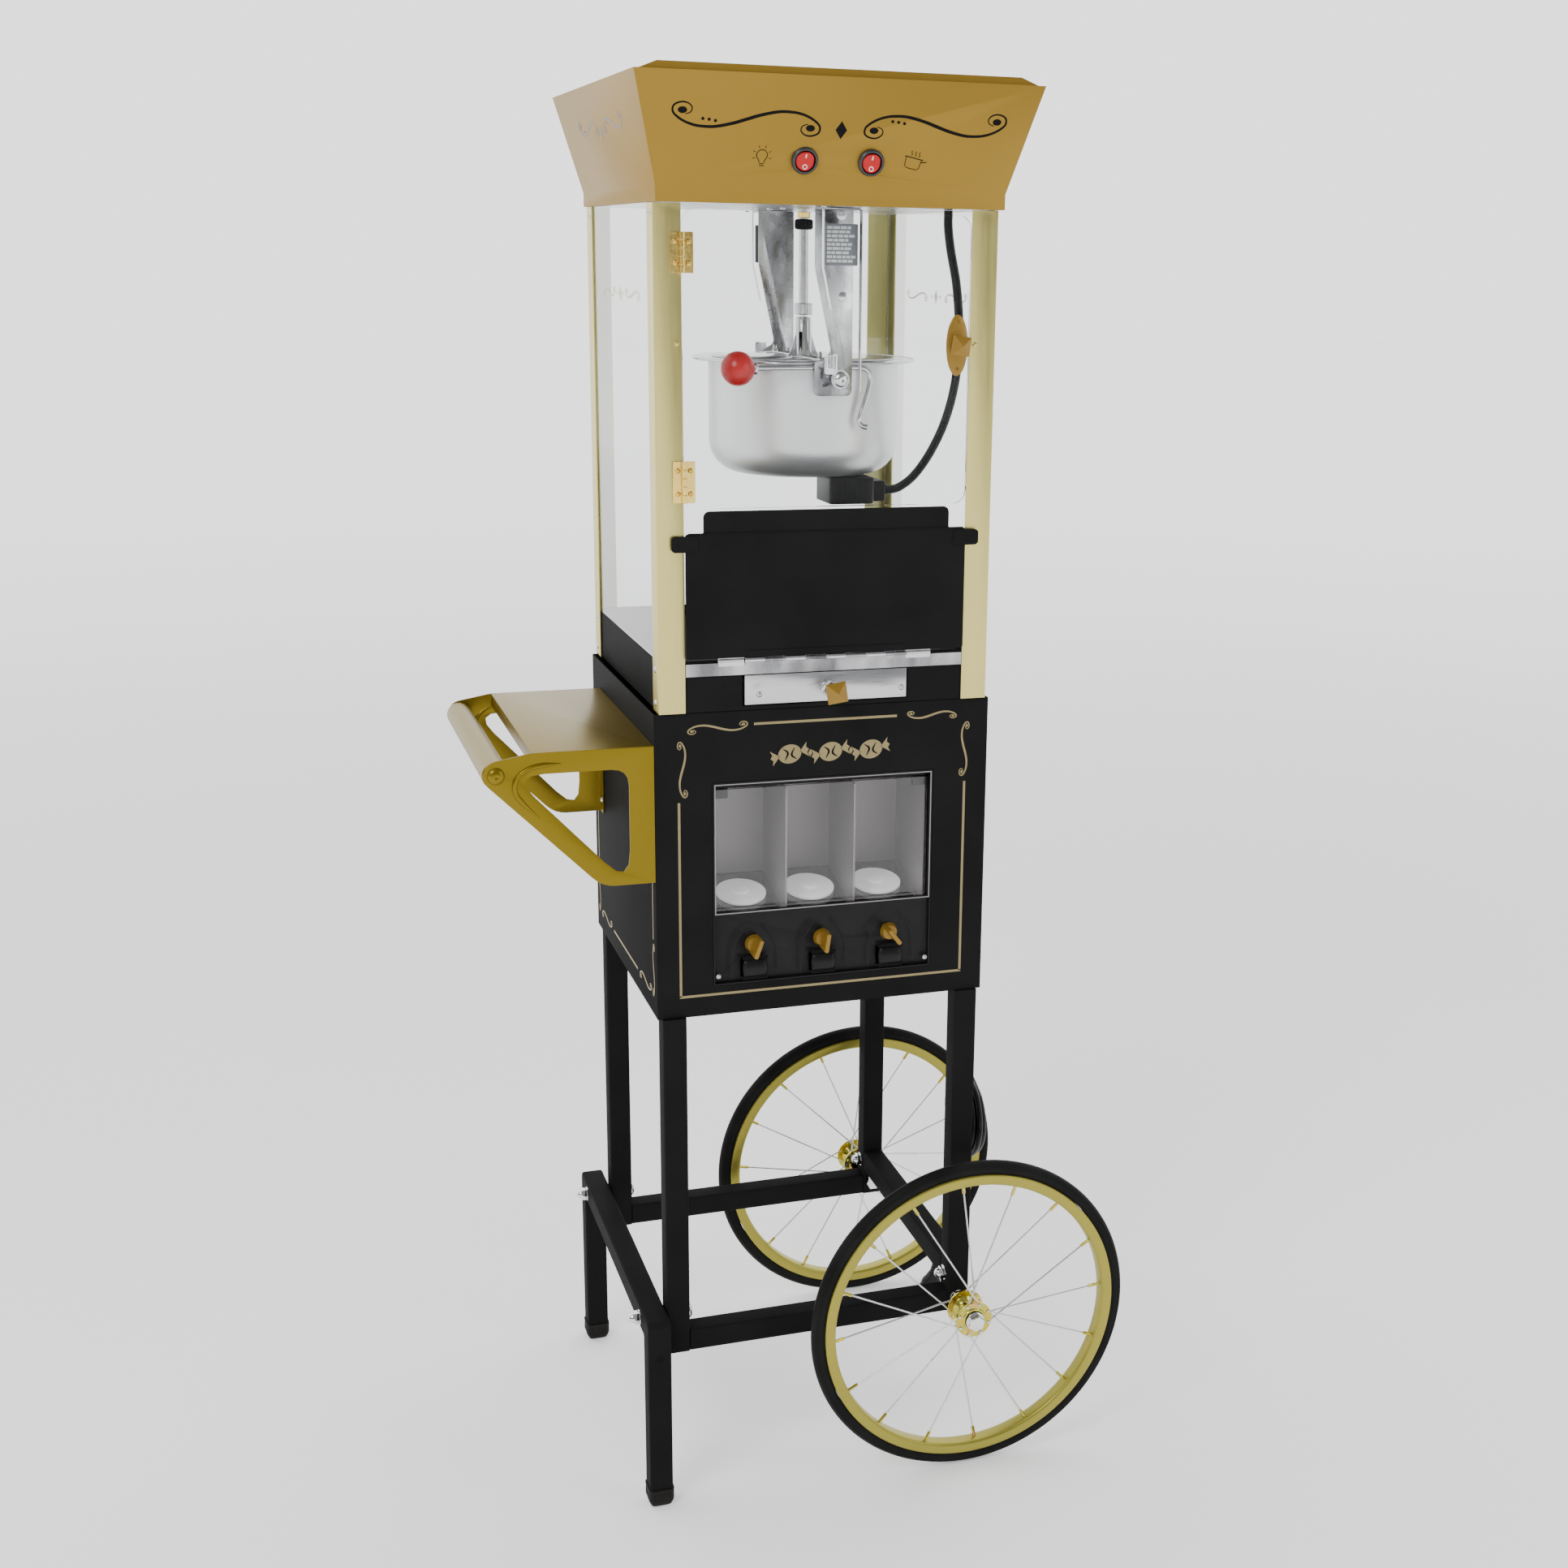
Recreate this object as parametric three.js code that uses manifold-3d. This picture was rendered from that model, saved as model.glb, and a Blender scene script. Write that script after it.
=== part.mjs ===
// Popcorn maker cart: a glass-sided popcorn cabinet with a tilting kettle, on a candy
// dispenser cabinet, on a square-tube stand with two spoked wheels. Millimetres, +Z up,
// +X to the user's right, -Y towards the user.
import * as THREE from "three";
import { mergeVertices } from "three/addons/utils/BufferGeometryUtils.js";
import Module from "manifold-3d";

const wasm = await Module();
wasm.setup();

// ---------- driving dimensions ----------
const GAP = 0.3; // clearance between touching pieces
const SHEET = 1.5; // sheet-metal thickness

const TUBE = 25.4; // square tube of the stand
const TUBE_WALL = 1.6;
const STAND_HALF_X = 175;
const STAND_HALF_Y = 171;
const RAIL_Z = 168; // underside of the legs and of the front and back rails
const SIDE_RAIL_Z = 200;
const FOOT_BEAM_Z = 197.5;
const FOOT_HALF_Y = 201;
const FOOT_CAP_HEIGHT = 21;
const FOOT_CAP_MARGIN = 1.6;

const WHEEL_RADIUS = 185.2;
const WHEEL_X = 161;
const WHEEL_Y = 212; // mid-plane of each wheel
const RIM_RADIUS = 171;
const RIM_DEPTH = 12.5;
const HUB_FLANGE_RADIUS = 21;
const HUB_FLANGE_SPACING = 29;
const SPOKES = 16;
const AXLE_RADIUS = 5;

const CABINET = { halfX: 180, halfY: 167.7, bottom: 556, top: 882.7 };
const FASCIA = { halfX: 120, bottom: 588, top: 808, front: -161, pitch: 75, knobZ: 629.3 };
const HOPPER = { halfX: 117, front: -158.8, back: -60, bottom: 652, top: 802, wall: 2.5 };
const CHUTE = { width: 28.5, bottom: 593, top: 614 };

const SHELF = { tip: -340, plateEnd: -302.7, front: -168, back: 126, top: 851, foot: 707 };
const HANDLE = { radius: 13.5, x: -338.5, z: 829.5 };

const BASE = { halfX: 173.2, halfY: 168.8, bottom: 883, floor: 924, top: 936 };
const POST = { halfX: 175, halfY: 170.6, flange: 27.5, top: 1377.4 };
const GLASS = 3;
const CEILING = { z: 1377.7, halfX: 173, halfY: 184 };
const CANOPY = {
  bottom: 1377.7, bandHalfX: 175.3, bandHalfY: 186.5, fold: 1392.2,
  rimHalfX: 201, rimHalfY: 220.8, rim: 1492.6, lidHalfX: 178, lidHalfY: 214, top: 1500,
};
const FLARE = Math.atan2(CANOPY.rimHalfY - CANOPY.bandHalfY, CANOPY.rim - CANOPY.fold);
const SWITCH = { x: 33, z: 1418, hole: 10.3 };

const DOOR = { halfX: 147.2, bottom: 1088, top: 1372, front: -171, back: -167, corner: 14 };
const HINGE = { x: -147.35, y: -174.4, radius: 2.8, pairs: [[1313, 1351], [1094.5, 1135]] };
const KNOB = { x: 133.7, z: 1246.5, halfX: 11.5, halfZ: 31 };
const HATCH = {
  halfX: 147, bottom: 938.5, shoulder: 1064, top: 1086, flangeHalfX: 128.5, y: -172.8,
};
const HATCH_PIN = { y: -172.2, z: 935.6, radius: 2.4, halfX: 86 };
const TRAY = { halfX: 86.5, bottom: 889, top: 919.3, front: -171.4, back: 120 };

const KETTLE = { x: 22.5, radius: 101, bottom: 1106, rim: 1223.7, pivotZ: 1211, wall: 1.5 };
const DECK = { radius: 118, halfY: 104, bottom: 1224.1, top: 1226, mouth: 86, bar: 13 };
const LID_RADIUS = 98;
const SLEEVE = { radius: 8, bore: 4.6, top: 1268 };
const HANGER = { y: 109, thick: 2 };
const HEATER = {
  x0: 31, x1: 80, y0: -76, y1: -20, bottom: 1078, plugX: 98, plugY: -50, plugZ: 1090,
};
const LEAD_RADIUS = 5;

const CORD_RADIUS = 3.5;
const COIL = { x: 191, y: -106, z: 378, radius: 39, bundle: 9.8 };
const CORD_EXIT = { x: 191, y: -60, z: 868 };

// ---------- materials ----------
const paint = (color, roughness, metalness) =>
  new THREE.MeshStandardMaterial({ color, roughness, metalness });
const MATERIALS = {
  black: paint(0x242424, 0.45, 0.3),
  gold: paint(0xc8b98a, 0.35, 0.85),
  canopyGold: paint(0xa98f55, 0.35, 0.8),
  shelfGold: paint(0xb5a05a, 0.35, 0.85),
  steel: paint(0xb9bbbd, 0.3, 0.95),
  aluminium: paint(0xd4d5d6, 0.35, 0.9),
  zincGold: paint(0xc2b766, 0.35, 0.9),
  rubber: paint(0x1a1a1a, 0.85, 0),
  plastic: paint(0x151515, 0.5, 0),
  red: paint(0xa81e20, 0.3, 0),
  amber: paint(0xc79a45, 0.4, 0.2),
};
const CLEAR = new THREE.MeshStandardMaterial({
  color: 0xeef3f2, roughness: 0.05, transparent: true, opacity: 0.3,
});

// ---------- solids ----------
function solid(geometry) {
  geometry.deleteAttribute("normal");
  geometry.deleteAttribute("uv");
  const merged = mergeVertices(geometry, 1e-4);
  const corners = merged.index.array;
  const kept = [];
  for (let i = 0; i < corners.length; i += 3) {
    const [a, b, c] = [corners[i], corners[i + 1], corners[i + 2]];
    if (a !== b && b !== c && c !== a) kept.push(a, b, c);
  }
  const mesh = new wasm.Mesh({
    numProp: 3,
    vertProperties: Float32Array.from(merged.attributes.position.array),
    triVerts: Uint32Array.from(kept),
  });
  return new wasm.Manifold(mesh);
}

const join = (first, ...others) => others.reduce((whole, piece) => whole.add(piece), first);
const cut = (first, ...tools) => tools.reduce((whole, tool) => whole.subtract(tool), first);

function block(x0, x1, y0, y1, z0, z1) {
  const box = new THREE.BoxGeometry(Math.abs(x1 - x0), Math.abs(y1 - y0), Math.abs(z1 - z0));
  box.translate((x0 + x1) / 2, (y0 + y1) / 2, (z0 + z1) / 2);
  return solid(box);
}

// A round bar along one axis; a and b are its place on the two other axes, in X, Y, Z order.
function rod(axis, radius, from, to, [a, b], sides = 20, endRadius = radius) {
  const bar = new THREE.CylinderGeometry(endRadius, radius, to - from, sides);
  const middle = (from + to) / 2;
  if (axis === "x") bar.rotateZ(-Math.PI / 2).translate(middle, a, b);
  if (axis === "y") bar.translate(a, middle, b);
  if (axis === "z") bar.rotateX(Math.PI / 2).translate(a, b, middle);
  return solid(bar);
}

// A flat outline pushed along one axis. The outline lies in XZ for y, YZ for x and XY for z.
function slab(axis, shape, from, to, curveSegments = 4) {
  const depth = to - from;
  const sheet = new THREE.ExtrudeGeometry(shape, { depth, bevelEnabled: false, curveSegments });
  if (axis === "y") sheet.rotateX(Math.PI / 2).translate(0, to, 0);
  if (axis === "z") sheet.translate(0, 0, from);
  if (axis === "x") {
    const turn = new THREE.Matrix4().makeBasis(
      new THREE.Vector3(0, 1, 0), new THREE.Vector3(0, 0, 1), new THREE.Vector3(1, 0, 0));
    sheet.applyMatrix4(turn).translate(from, 0, 0);
  }
  return solid(sheet);
}

// A closed outline through points. Each corner is cut back along both its edges by its own
// length and bridged with a smooth curve.
function outline(points, cutBacks = 0, Type = THREE.Shape) {
  const shape = new Type();
  const corners = points.map(([x, y]) => new THREE.Vector2(x, y));
  corners.forEach((corner, i) => {
    const before = corners[(i + corners.length - 1) % corners.length];
    const after = corners[(i + 1) % corners.length];
    const back = Array.isArray(cutBacks) ? cutBacks[i] : cutBacks;
    const enter = corner.clone().add(before.clone().sub(corner).setLength(back));
    const leave = corner.clone().add(after.clone().sub(corner).setLength(back));
    if (i === 0) shape.moveTo(enter.x, enter.y);
    else shape.lineTo(enter.x, enter.y);
    if (back > 0) shape.quadraticCurveTo(corner.x, corner.y, leave.x, leave.y);
  });
  shape.closePath();
  return shape;
}

const ordered = (a, b) => [Math.min(a, b), Math.max(a, b)];

const rectangle = (x0, x1, y0, y1) => [[x0, y0], [x1, y0], [x1, y1], [x0, y1]];

// A solid of revolution about a wheel's own Y axis or a kettle's own Z axis.
function turned(axis, profile, segments) {
  const points = [...profile, profile[0]].map(([r, h]) => new THREE.Vector2(r, h));
  const body = new THREE.LatheGeometry(points, segments);
  if (axis === "z") body.rotateX(Math.PI / 2);
  return solid(body);
}

// A stack of centred rectangles [half x, half y, z], joined level by level.
function stack(levels) {
  const corners = levels.flatMap(([x, y, z]) => [[-x, -y, z], [x, -y, z], [x, y, z], [-x, y, z]]);
  const faces = [[0, 2, 1], [0, 3, 2]];
  for (let level = 0; level < levels.length - 1; level += 1) {
    for (let side = 0; side < 4; side += 1) {
      const a = level * 4 + side;
      const b = level * 4 + ((side + 1) % 4);
      faces.push([a, b, b + 4], [a, b + 4, a + 4]);
    }
  }
  const last = (levels.length - 1) * 4;
  faces.push([last, last + 1, last + 2], [last, last + 2, last + 3]);
  const body = new THREE.BufferGeometry();
  body.setAttribute("position", new THREE.Float32BufferAttribute(corners.flat(), 3));
  body.setIndex(faces.flat());
  return solid(body);
}

// A round tube along a smooth line through the points.
function hose(points, radius, steps, sides) {
  const stops = points.map((point) => new THREE.Vector3(...point));
  const line = new THREE.CatmullRomCurve3(stops, false, "centripetal");
  const ring = Array.from({ length: sides }, (_, i) => {
    const angle = (2 * Math.PI * i) / sides;
    return [radius * Math.cos(angle), radius * Math.sin(angle)];
  });
  const shape = new THREE.Shape(ring.map(([x, y]) => new THREE.Vector2(x, y)));
  const tube = { extrudePath: line, steps, bevelEnabled: false };
  return solid(new THREE.ExtrudeGeometry(shape, tube));
}

// ---------- assembly ----------
const cart = new THREE.Group();

function add(name, piece, material, place = [0, 0, 0], tilt = 0) {
  const mesh = piece.getMesh();
  const geometry = new THREE.BufferGeometry();
  geometry.setAttribute("position", new THREE.BufferAttribute(mesh.vertProperties, 3));
  geometry.setIndex(new THREE.BufferAttribute(mesh.triVerts, 1));
  geometry.computeVertexNormals();
  const node = new THREE.Mesh(geometry, material);
  node.name = name;
  node.position.set(...place);
  node.rotation.x = tilt;
  cart.add(node);
}

const SIDES = [["left", -1], ["right", 1]];
const ENDS = [["front", -1], ["back", 1]];

// ---------- stand ----------
const squareTube = (half, inner) => {
  const shape = outline(rectangle(-half, half, -half, half));
  shape.holes.push(outline(rectangle(-inner, inner, -inner, inner), 0, THREE.Path));
  return shape;
};

const tubeBar = (axis, from, to) =>
  slab(axis, squareTube(TUBE / 2, TUBE / 2 - TUBE_WALL), from, to);

function stand() {
  const legX = STAND_HALF_X - TUBE / 2;
  const legY = STAND_HALF_Y - TUBE / 2;
  for (const [side, sx] of SIDES) {
    for (const [end, sy] of ENDS) {
      let leg = tubeBar("z", 0, CABINET.bottom - GAP - RAIL_Z);
      if (sx > 0) {
        const place = [WHEEL_X - legX, WHEEL_RADIUS - RAIL_Z];
        const bore = rod("y", AXLE_RADIUS + GAP, -TUBE, TUBE, place);
        leg = cut(leg, bore);
      }
      add(`leg_${end}_${side}`, leg, MATERIALS.black, [sx * legX, sy * legY, RAIL_Z]);
    }
  }
  const railX = STAND_HALF_X - TUBE - GAP;
  const railY = STAND_HALF_Y - TUBE - GAP;
  for (const [end, sy] of ENDS) {
    const place = [0, sy * legY, RAIL_Z + TUBE / 2];
    add(`rail_${end}`, tubeBar("x", -railX, railX), MATERIALS.black, place);
  }
  const sidePlace = [legX, 0, SIDE_RAIL_Z + TUBE / 2];
  add("rail_right", tubeBar("y", -railY, railY), MATERIALS.black, sidePlace);
}

// The bent foot tube: a beam outside the left legs whose ends turn down to the floor.
function foot() {
  const half = TUBE / 2;
  const inner = FOOT_HALF_Y - TUBE;
  const beamTop = FOOT_BEAM_Z + TUBE;
  const side = outline([
    [-FOOT_HALF_Y, FOOT_CAP_HEIGHT + GAP], [-inner, FOOT_CAP_HEIGHT + GAP], [-inner, FOOT_BEAM_Z],
    [inner, FOOT_BEAM_Z], [inner, FOOT_CAP_HEIGHT + GAP], [FOOT_HALF_Y, FOOT_CAP_HEIGHT + GAP],
    [FOOT_HALF_Y, beamTop - 7], [FOOT_HALF_Y - 7, beamTop], [7 - FOOT_HALF_Y, beamTop],
    [-FOOT_HALF_Y, beamTop - 7],
  ]);
  const x = -STAND_HALF_X - 2 - half;
  add("foot_frame", slab("x", side, -half, half), MATERIALS.black, [x, 0, 0]);
  const cap = half + FOOT_CAP_MARGIN;
  for (const [end, sy] of ENDS) {
    const boot = stack([[cap - 2, cap - 2, 0], [cap, cap, 3], [cap, cap, FOOT_CAP_HEIGHT]]);
    add(`foot_cap_${end}`, boot, MATERIALS.rubber, [x, sy * (FOOT_HALF_Y - half), 0]);
  }
}

// ---------- wheels ----------
function tyre() {
  const halfWidth = 8;
  const shoulder = RIM_RADIUS + 5.4;
  const crown = Array.from({ length: 5 }, (_, i) => {
    const angle = (Math.PI * i) / 4;
    const bulge = (WHEEL_RADIUS - shoulder) * Math.sin(angle);
    return [shoulder + bulge, -halfWidth * Math.cos(angle)];
  });
  return turned("y", [[RIM_RADIUS + GAP, -6], ...crown, [RIM_RADIUS + GAP, 6]], 36);
}

// Rim, spokes and hub laced into one wheel.
function lacedWheel() {
  const inner = RIM_RADIUS - RIM_DEPTH;
  const rim = turned("y", [
    [inner, -4], [inner + 3, -9], [RIM_RADIUS, -9], [RIM_RADIUS, 9], [inner + 3, 9], [inner, 4],
  ], 36);
  const flange = HUB_FLANGE_SPACING / 2;
  const bore = AXLE_RADIUS + GAP;
  const hub = turned("y", [
    [bore, -flange - 2], [HUB_FLANGE_RADIUS, -flange - 2], [HUB_FLANGE_RADIUS, 1 - flange], [13, 1 - flange],
    [8.5, 4 - flange], [8.5, flange - 4], [13, flange - 1], [HUB_FLANGE_RADIUS, flange - 1],
    [HUB_FLANGE_RADIUS, flange + 2], [bore, flange + 2],
  ], 16);
  const spokes = Array.from({ length: SPOKES }, (_, i) => {
    const side = i % 2 ? 1 : -1;
    const reach = inner + 2 - (HUB_FLANGE_RADIUS - 4);
    const lean = Math.atan2(side * flange, reach);
    const spoke = new THREE.CylinderGeometry(1.2, 1.2, reach / Math.cos(lean), 4);
    spoke.rotateX(Math.PI / 2).rotateX(lean);
    spoke.translate(0, (side * flange) / 2, HUB_FLANGE_RADIUS - 4 + reach / 2);
    spoke.rotateY((2 * Math.PI * i) / SPOKES);
    return solid(spoke);
  });
  return join(rim, hub, ...spokes);
}

function axle(sign) {
  const inner = STAND_HALF_Y - TUBE;
  const outer = WHEEL_Y + HUB_FLANGE_SPACING / 2 + 2;
  const along = (from, to, radius, sides) => {
    const [near, far] = ordered(sign * from, sign * to);
    return rod("y", radius, near, far, [0, 0], sides);
  };
  return join(
    along(inner - 9, outer + 2, AXLE_RADIUS, 16), along(inner - 8, inner - GAP, 8.5, 6),
    along(outer + GAP, outer + 3, 11, 16), along(outer + 3, outer + 11, 9.5, 6));
}

function wheels() {
  for (const [end, sy] of ENDS) {
    const centre = [WHEEL_X, sy * WHEEL_Y, WHEEL_RADIUS];
    add(`${end}_tyre`, tyre(), MATERIALS.rubber, centre);
    add(`${end}_wheel`, lacedWheel(), MATERIALS.zincGold, centre);
    add(`${end}_axle`, axle(sy), MATERIALS.steel, [WHEEL_X, 0, WHEEL_RADIUS]);
  }
}

// ---------- candy cabinet ----------
const candyColumns = [-FASCIA.pitch, 0, FASCIA.pitch];

function cabinet() {
  const { halfX, halfY, bottom, top } = CABINET;
  const shell = cut(
    block(-halfX, halfX, -halfY, halfY, bottom, top),
    block(SHEET - halfX, halfX - SHEET, SHEET - halfY, halfY - SHEET, bottom + SHEET, top + 1),
    block(-FASCIA.halfX, FASCIA.halfX, -halfY - 1, 0, FASCIA.bottom, FASCIA.top));
  add("cabinet_shell", shell, MATERIALS.black);
}

// The recessed dispenser panel: a shallow tray with a window, three knob holes and three chutes.
function fascia() {
  const x = FASCIA.halfX - GAP;
  const [z0, z1] = [FASCIA.bottom + GAP, FASCIA.top - GAP];
  const [before, behind] = [FASCIA.front - 2, FASCIA.front + 4];
  const halfChute = CHUTE.width / 2;
  const holes = candyColumns.flatMap((column) => [
    rod("y", 4.4, before, behind, [column, FASCIA.knobZ]),
    block(column - halfChute, column + halfChute, before, behind, CHUTE.bottom, CHUTE.top),
  ]);
  const windowX = HOPPER.halfX + 0.5;
  const panel = cut(
    block(-x, x, -CABINET.halfY, FASCIA.front + SHEET, z0, z1),
    block(SHEET - x, x - SHEET, -CABINET.halfY - 1, FASCIA.front, z0 + SHEET, z1 - SHEET),
    block(-windowX, windowX, before, behind, HOPPER.bottom + 14, z1 - 6),
    ...holes);
  add("dispenser_fascia", panel, MATERIALS.black);
}

function hopper() {
  const { halfX, front, back, bottom, top, wall } = HOPPER;
  const cells = candyColumns.map((column) => {
    const half = FASCIA.pitch / 2 - wall / 2;
    return block(column - half, column + half, front + wall, back - wall, bottom + wall, top + 1);
  });
  add("candy_hopper", cut(block(-halfX, halfX, front, back, bottom, top), ...cells), CLEAR);
}

// Dispensing knob, its shaft and the metering drum behind the panel.
function candyKnob(place) {
  const wing = outline(rectangle(-24, 24, -5, 5), 4);
  const knob = join(
    rod("y", 11, -15, -GAP, [0, 0], 16), slab("y", wing, -24, -14, 3), rod("y", 4, -15, 30, [0, 0], 12),
    rod("y", 15, SHEET + 4, 40, [0, 0], 16));
  const centre = [candyColumns[place - 1], FASCIA.front, FASCIA.knobZ];
  add(`candy_knob_${place}`, knob, MATERIALS.amber, centre);
}

// ---------- side shelf ----------
function shelf() {
  const wall = -CABINET.halfX - GAP;
  const { plateEnd, front, back, top, foot: low } = SHELF;
  const bracket = outline([
    [wall, top], [plateEnd, top], [SHELF.tip - 7, top - 8], [SHELF.tip - 13, top - 26],
    [-235, low], [wall, low],
  ], [0, 4, 9, 9, 14, 0]);
  bracket.holes.push(outline(
    [[-206, top - 22], [-206, low - 2], [-323, top - 22]], [18, 38, 32], THREE.Path));
  const shell = join(
    block(plateEnd, wall, front, back, top - SHEET, top),
    slab("y", bracket, front, front + SHEET), slab("y", bracket, back - SHEET, back),
    block(wall - SHEET, wall, front, front + 15, low, top),
    block(wall - SHEET, wall, back - 15, back, low, top),
    block(plateEnd, plateEnd + SHEET, front, back, top - 14, top));
  add("side_shelf", shell, MATERIALS.shelfGold);
  const grip = rod("y", HANDLE.radius, front + SHEET + GAP, back - SHEET - GAP, [HANDLE.x, HANDLE.z], 24);
  add("push_handle", grip, MATERIALS.shelfGold);
}

// ---------- popcorn cabinet ----------
function machineBase() {
  const { halfX, halfY, bottom, floor, top } = BASE;
  const slotX = TRAY.halfX + 1.5;
  const shell = cut(
    block(-halfX, halfX, -halfY, halfY, bottom, top),
    block(SHEET - halfX, halfX - SHEET, SHEET - halfY, halfY - SHEET, floor + SHEET, top + 1),
    block(SHEET - halfX, halfX - SHEET, SHEET - halfY, halfY - SHEET, bottom + SHEET, floor),
    block(-slotX, slotX, -halfY - 1, 0, TRAY.bottom - 1.5, TRAY.top + 0.7));
  add("machine_base", shell, MATERIALS.black);
}

function posts() {
  const { halfX, halfY, flange, top } = POST;
  for (const [side, sx] of SIDES) {
    for (const [end, sy] of ENDS) {
      const [cornerX, cornerY] = [sx * halfX, sy * halfY];
      const angle = join(
        block(cornerX, sx * (halfX - flange), cornerY, sy * (halfY - SHEET), BASE.bottom, top),
        block(cornerX, sx * (halfX - SHEET), cornerY, sy * (halfY - flange), BASE.bottom, top));
      add(`post_${end}_${side}`, angle, MATERIALS.gold);
    }
  }
}

function glazing() {
  const [low, high] = [BASE.top + GAP, POST.top];
  const faceX = POST.halfX - SHEET - GAP;
  const faceY = POST.halfY - SHEET - GAP;
  for (const [side, sx] of SIDES) {
    add(`glass_${side}`, block(sx * faceX, sx * (faceX - GLASS), -165, 165, low, high), CLEAR);
  }
  const backX = faceX - GLASS - GAP;
  add("glass_back", block(-backX, backX, faceY, faceY - GLASS, low, high), CLEAR);
}

function canopy() {
  const c = CANOPY;
  const inner = (half) => half - SHEET;
  const outer = stack([
    [c.bandHalfX, c.bandHalfY, c.bottom], [c.bandHalfX, c.bandHalfY, c.fold],
    [c.rimHalfX, c.rimHalfY, c.rim], [c.rimHalfX - 6, c.rimHalfY - 5, c.rim + GAP],
    [c.lidHalfX, c.lidHalfY, c.top],
  ]);
  const hollow = stack([
    [inner(c.bandHalfX), inner(c.bandHalfY), c.bottom - 1],
    [inner(c.bandHalfX), inner(c.bandHalfY), c.fold],
    [inner(c.rimHalfX), inner(c.rimHalfY), c.rim - 1.5],
  ]);
  const bores = [-SWITCH.x, SWITCH.x].map((x) => {
    const bore = new THREE.CylinderGeometry(SWITCH.hole, SWITCH.hole, 30, 24);
    bore.rotateX(FLARE).translate(x, frontOfFlare(SWITCH.z), SWITCH.z);
    return solid(bore);
  });
  add("canopy", cut(outer, hollow, ...bores), MATERIALS.canopyGold);
  const { halfX, halfY, z } = CEILING;
  const plate = block(-halfX, halfX, -halfY, halfY, z, z + SHEET);
  const shaftHole = rod("z", 7, z - 1, z + 3, [KETTLE.x, 0]);
  add("ceiling_plate", cut(plate, shaftHole), MATERIALS.steel);
}

// Y of the canopy's sloping front face at a height.
function frontOfFlare(z) {
  return -CANOPY.bandHalfY - (z - CANOPY.fold) * Math.tan(FLARE);
}

// Rocker keys in their round holes, built facing -Y with the lower end pressed in, and turned
// down with the sloping face.
function rockers() {
  const rocker = outline([[-4, 8], [-1.9, 0], [-1.6, -7.6], [2.4, -7.4], [0.8, 8]]);
  for (const [side, sx] of SIDES) {
    const place = [sx * SWITCH.x, frontOfFlare(SWITCH.z), SWITCH.z];
    add(`rocker_${side}`, slab("x", rocker, -4.6, 4.6), MATERIALS.red, place, FLARE);
  }
}

// ---------- doors and tray ----------
function frontDoor() {
  const pane = outline(rectangle(-DOOR.halfX, DOOR.halfX, DOOR.bottom, DOOR.top), DOOR.corner);
  add("front_door", slab("y", pane, DOOR.front, DOOR.back), CLEAR);
  HINGE.pairs.forEach(([low, high], i) => {
    const leaf = join(
      rod("z", HINGE.radius, low, high, [HINGE.x, HINGE.y], 16),
      block(HINGE.x - 11, HINGE.x, -POST.halfY - 2.4, -POST.halfY - GAP, low, high));
    add(i ? "door_hinge_lower" : "door_hinge_upper", leaf, MATERIALS.gold);
  });
  const plate = new THREE.Shape().absellipse(KNOB.x, KNOB.z, KNOB.halfX, KNOB.halfZ, 0, 2 * Math.PI);
  const face = DOOR.front - GAP;
  const knob = join(
    slab("y", plate, face - 3, face, 8), rod("y", 5, face - 12, face - 2, [KNOB.x, KNOB.z], 16),
    rod("y", 9, face - 20, face - 10, [KNOB.x, KNOB.z], 4));
  add("door_knob", knob, MATERIALS.gold);
}

function servingHatch() {
  const { halfX, bottom, shoulder, top, flangeHalfX, y } = HATCH;
  const panel = outline([
    [-halfX, bottom], [halfX, bottom], [halfX, shoulder - 18], [halfX + 14, shoulder - 18],
    [halfX + 14, shoulder - 2], [halfX, shoulder - 2], [halfX, shoulder], [flangeHalfX, shoulder],
    [flangeHalfX, top], [-flangeHalfX, top], [-flangeHalfX, shoulder], [-halfX, shoulder],
    [-halfX, shoulder - 2], [-halfX - 14, shoulder - 2],
    [-halfX - 14, shoulder - 18], [-halfX, shoulder - 18],
  ]);
  const lip = block(-HATCH_PIN.halfX + 2, HATCH_PIN.halfX - 2, y - 1, y + SHEET, bottom, bottom + 8);
  add("serving_hatch", join(slab("y", panel, y, y + SHEET), lip), MATERIALS.black);
  const strip = join(
    block(-halfX, halfX, -BASE.halfY - 1.8, -BASE.halfY - GAP, TRAY.top + 0.9, 933),
    block(-HATCH_PIN.halfX, HATCH_PIN.halfX, HATCH_PIN.y - 1, -BASE.halfY - GAP, 930.5, 935),
    rod("x", HATCH_PIN.radius, -HATCH_PIN.halfX, HATCH_PIN.halfX, [HATCH_PIN.y, HATCH_PIN.z], 12));
  add("hatch_hinge", strip, MATERIALS.steel);
}

function crumbTray() {
  const { halfX, bottom, top, front, back } = TRAY;
  const pan = cut(
    block(-halfX, halfX, front + SHEET - 0.5, back, bottom, top - 4),
    block(SHEET - halfX, halfX - SHEET, front + 2 * SHEET, back - SHEET, bottom + SHEET, top));
  const grip = rod("y", 6, front - 8, front + 0.5, [0, 903], 12);
  const tray = join(
    block(-halfX, halfX, front, front + SHEET, bottom, top), pan, grip,
    rod("y", 10, front - 16, front - 7, [0, 903], 4));
  add("crumb_tray", tray, MATERIALS.steel);
}

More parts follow.
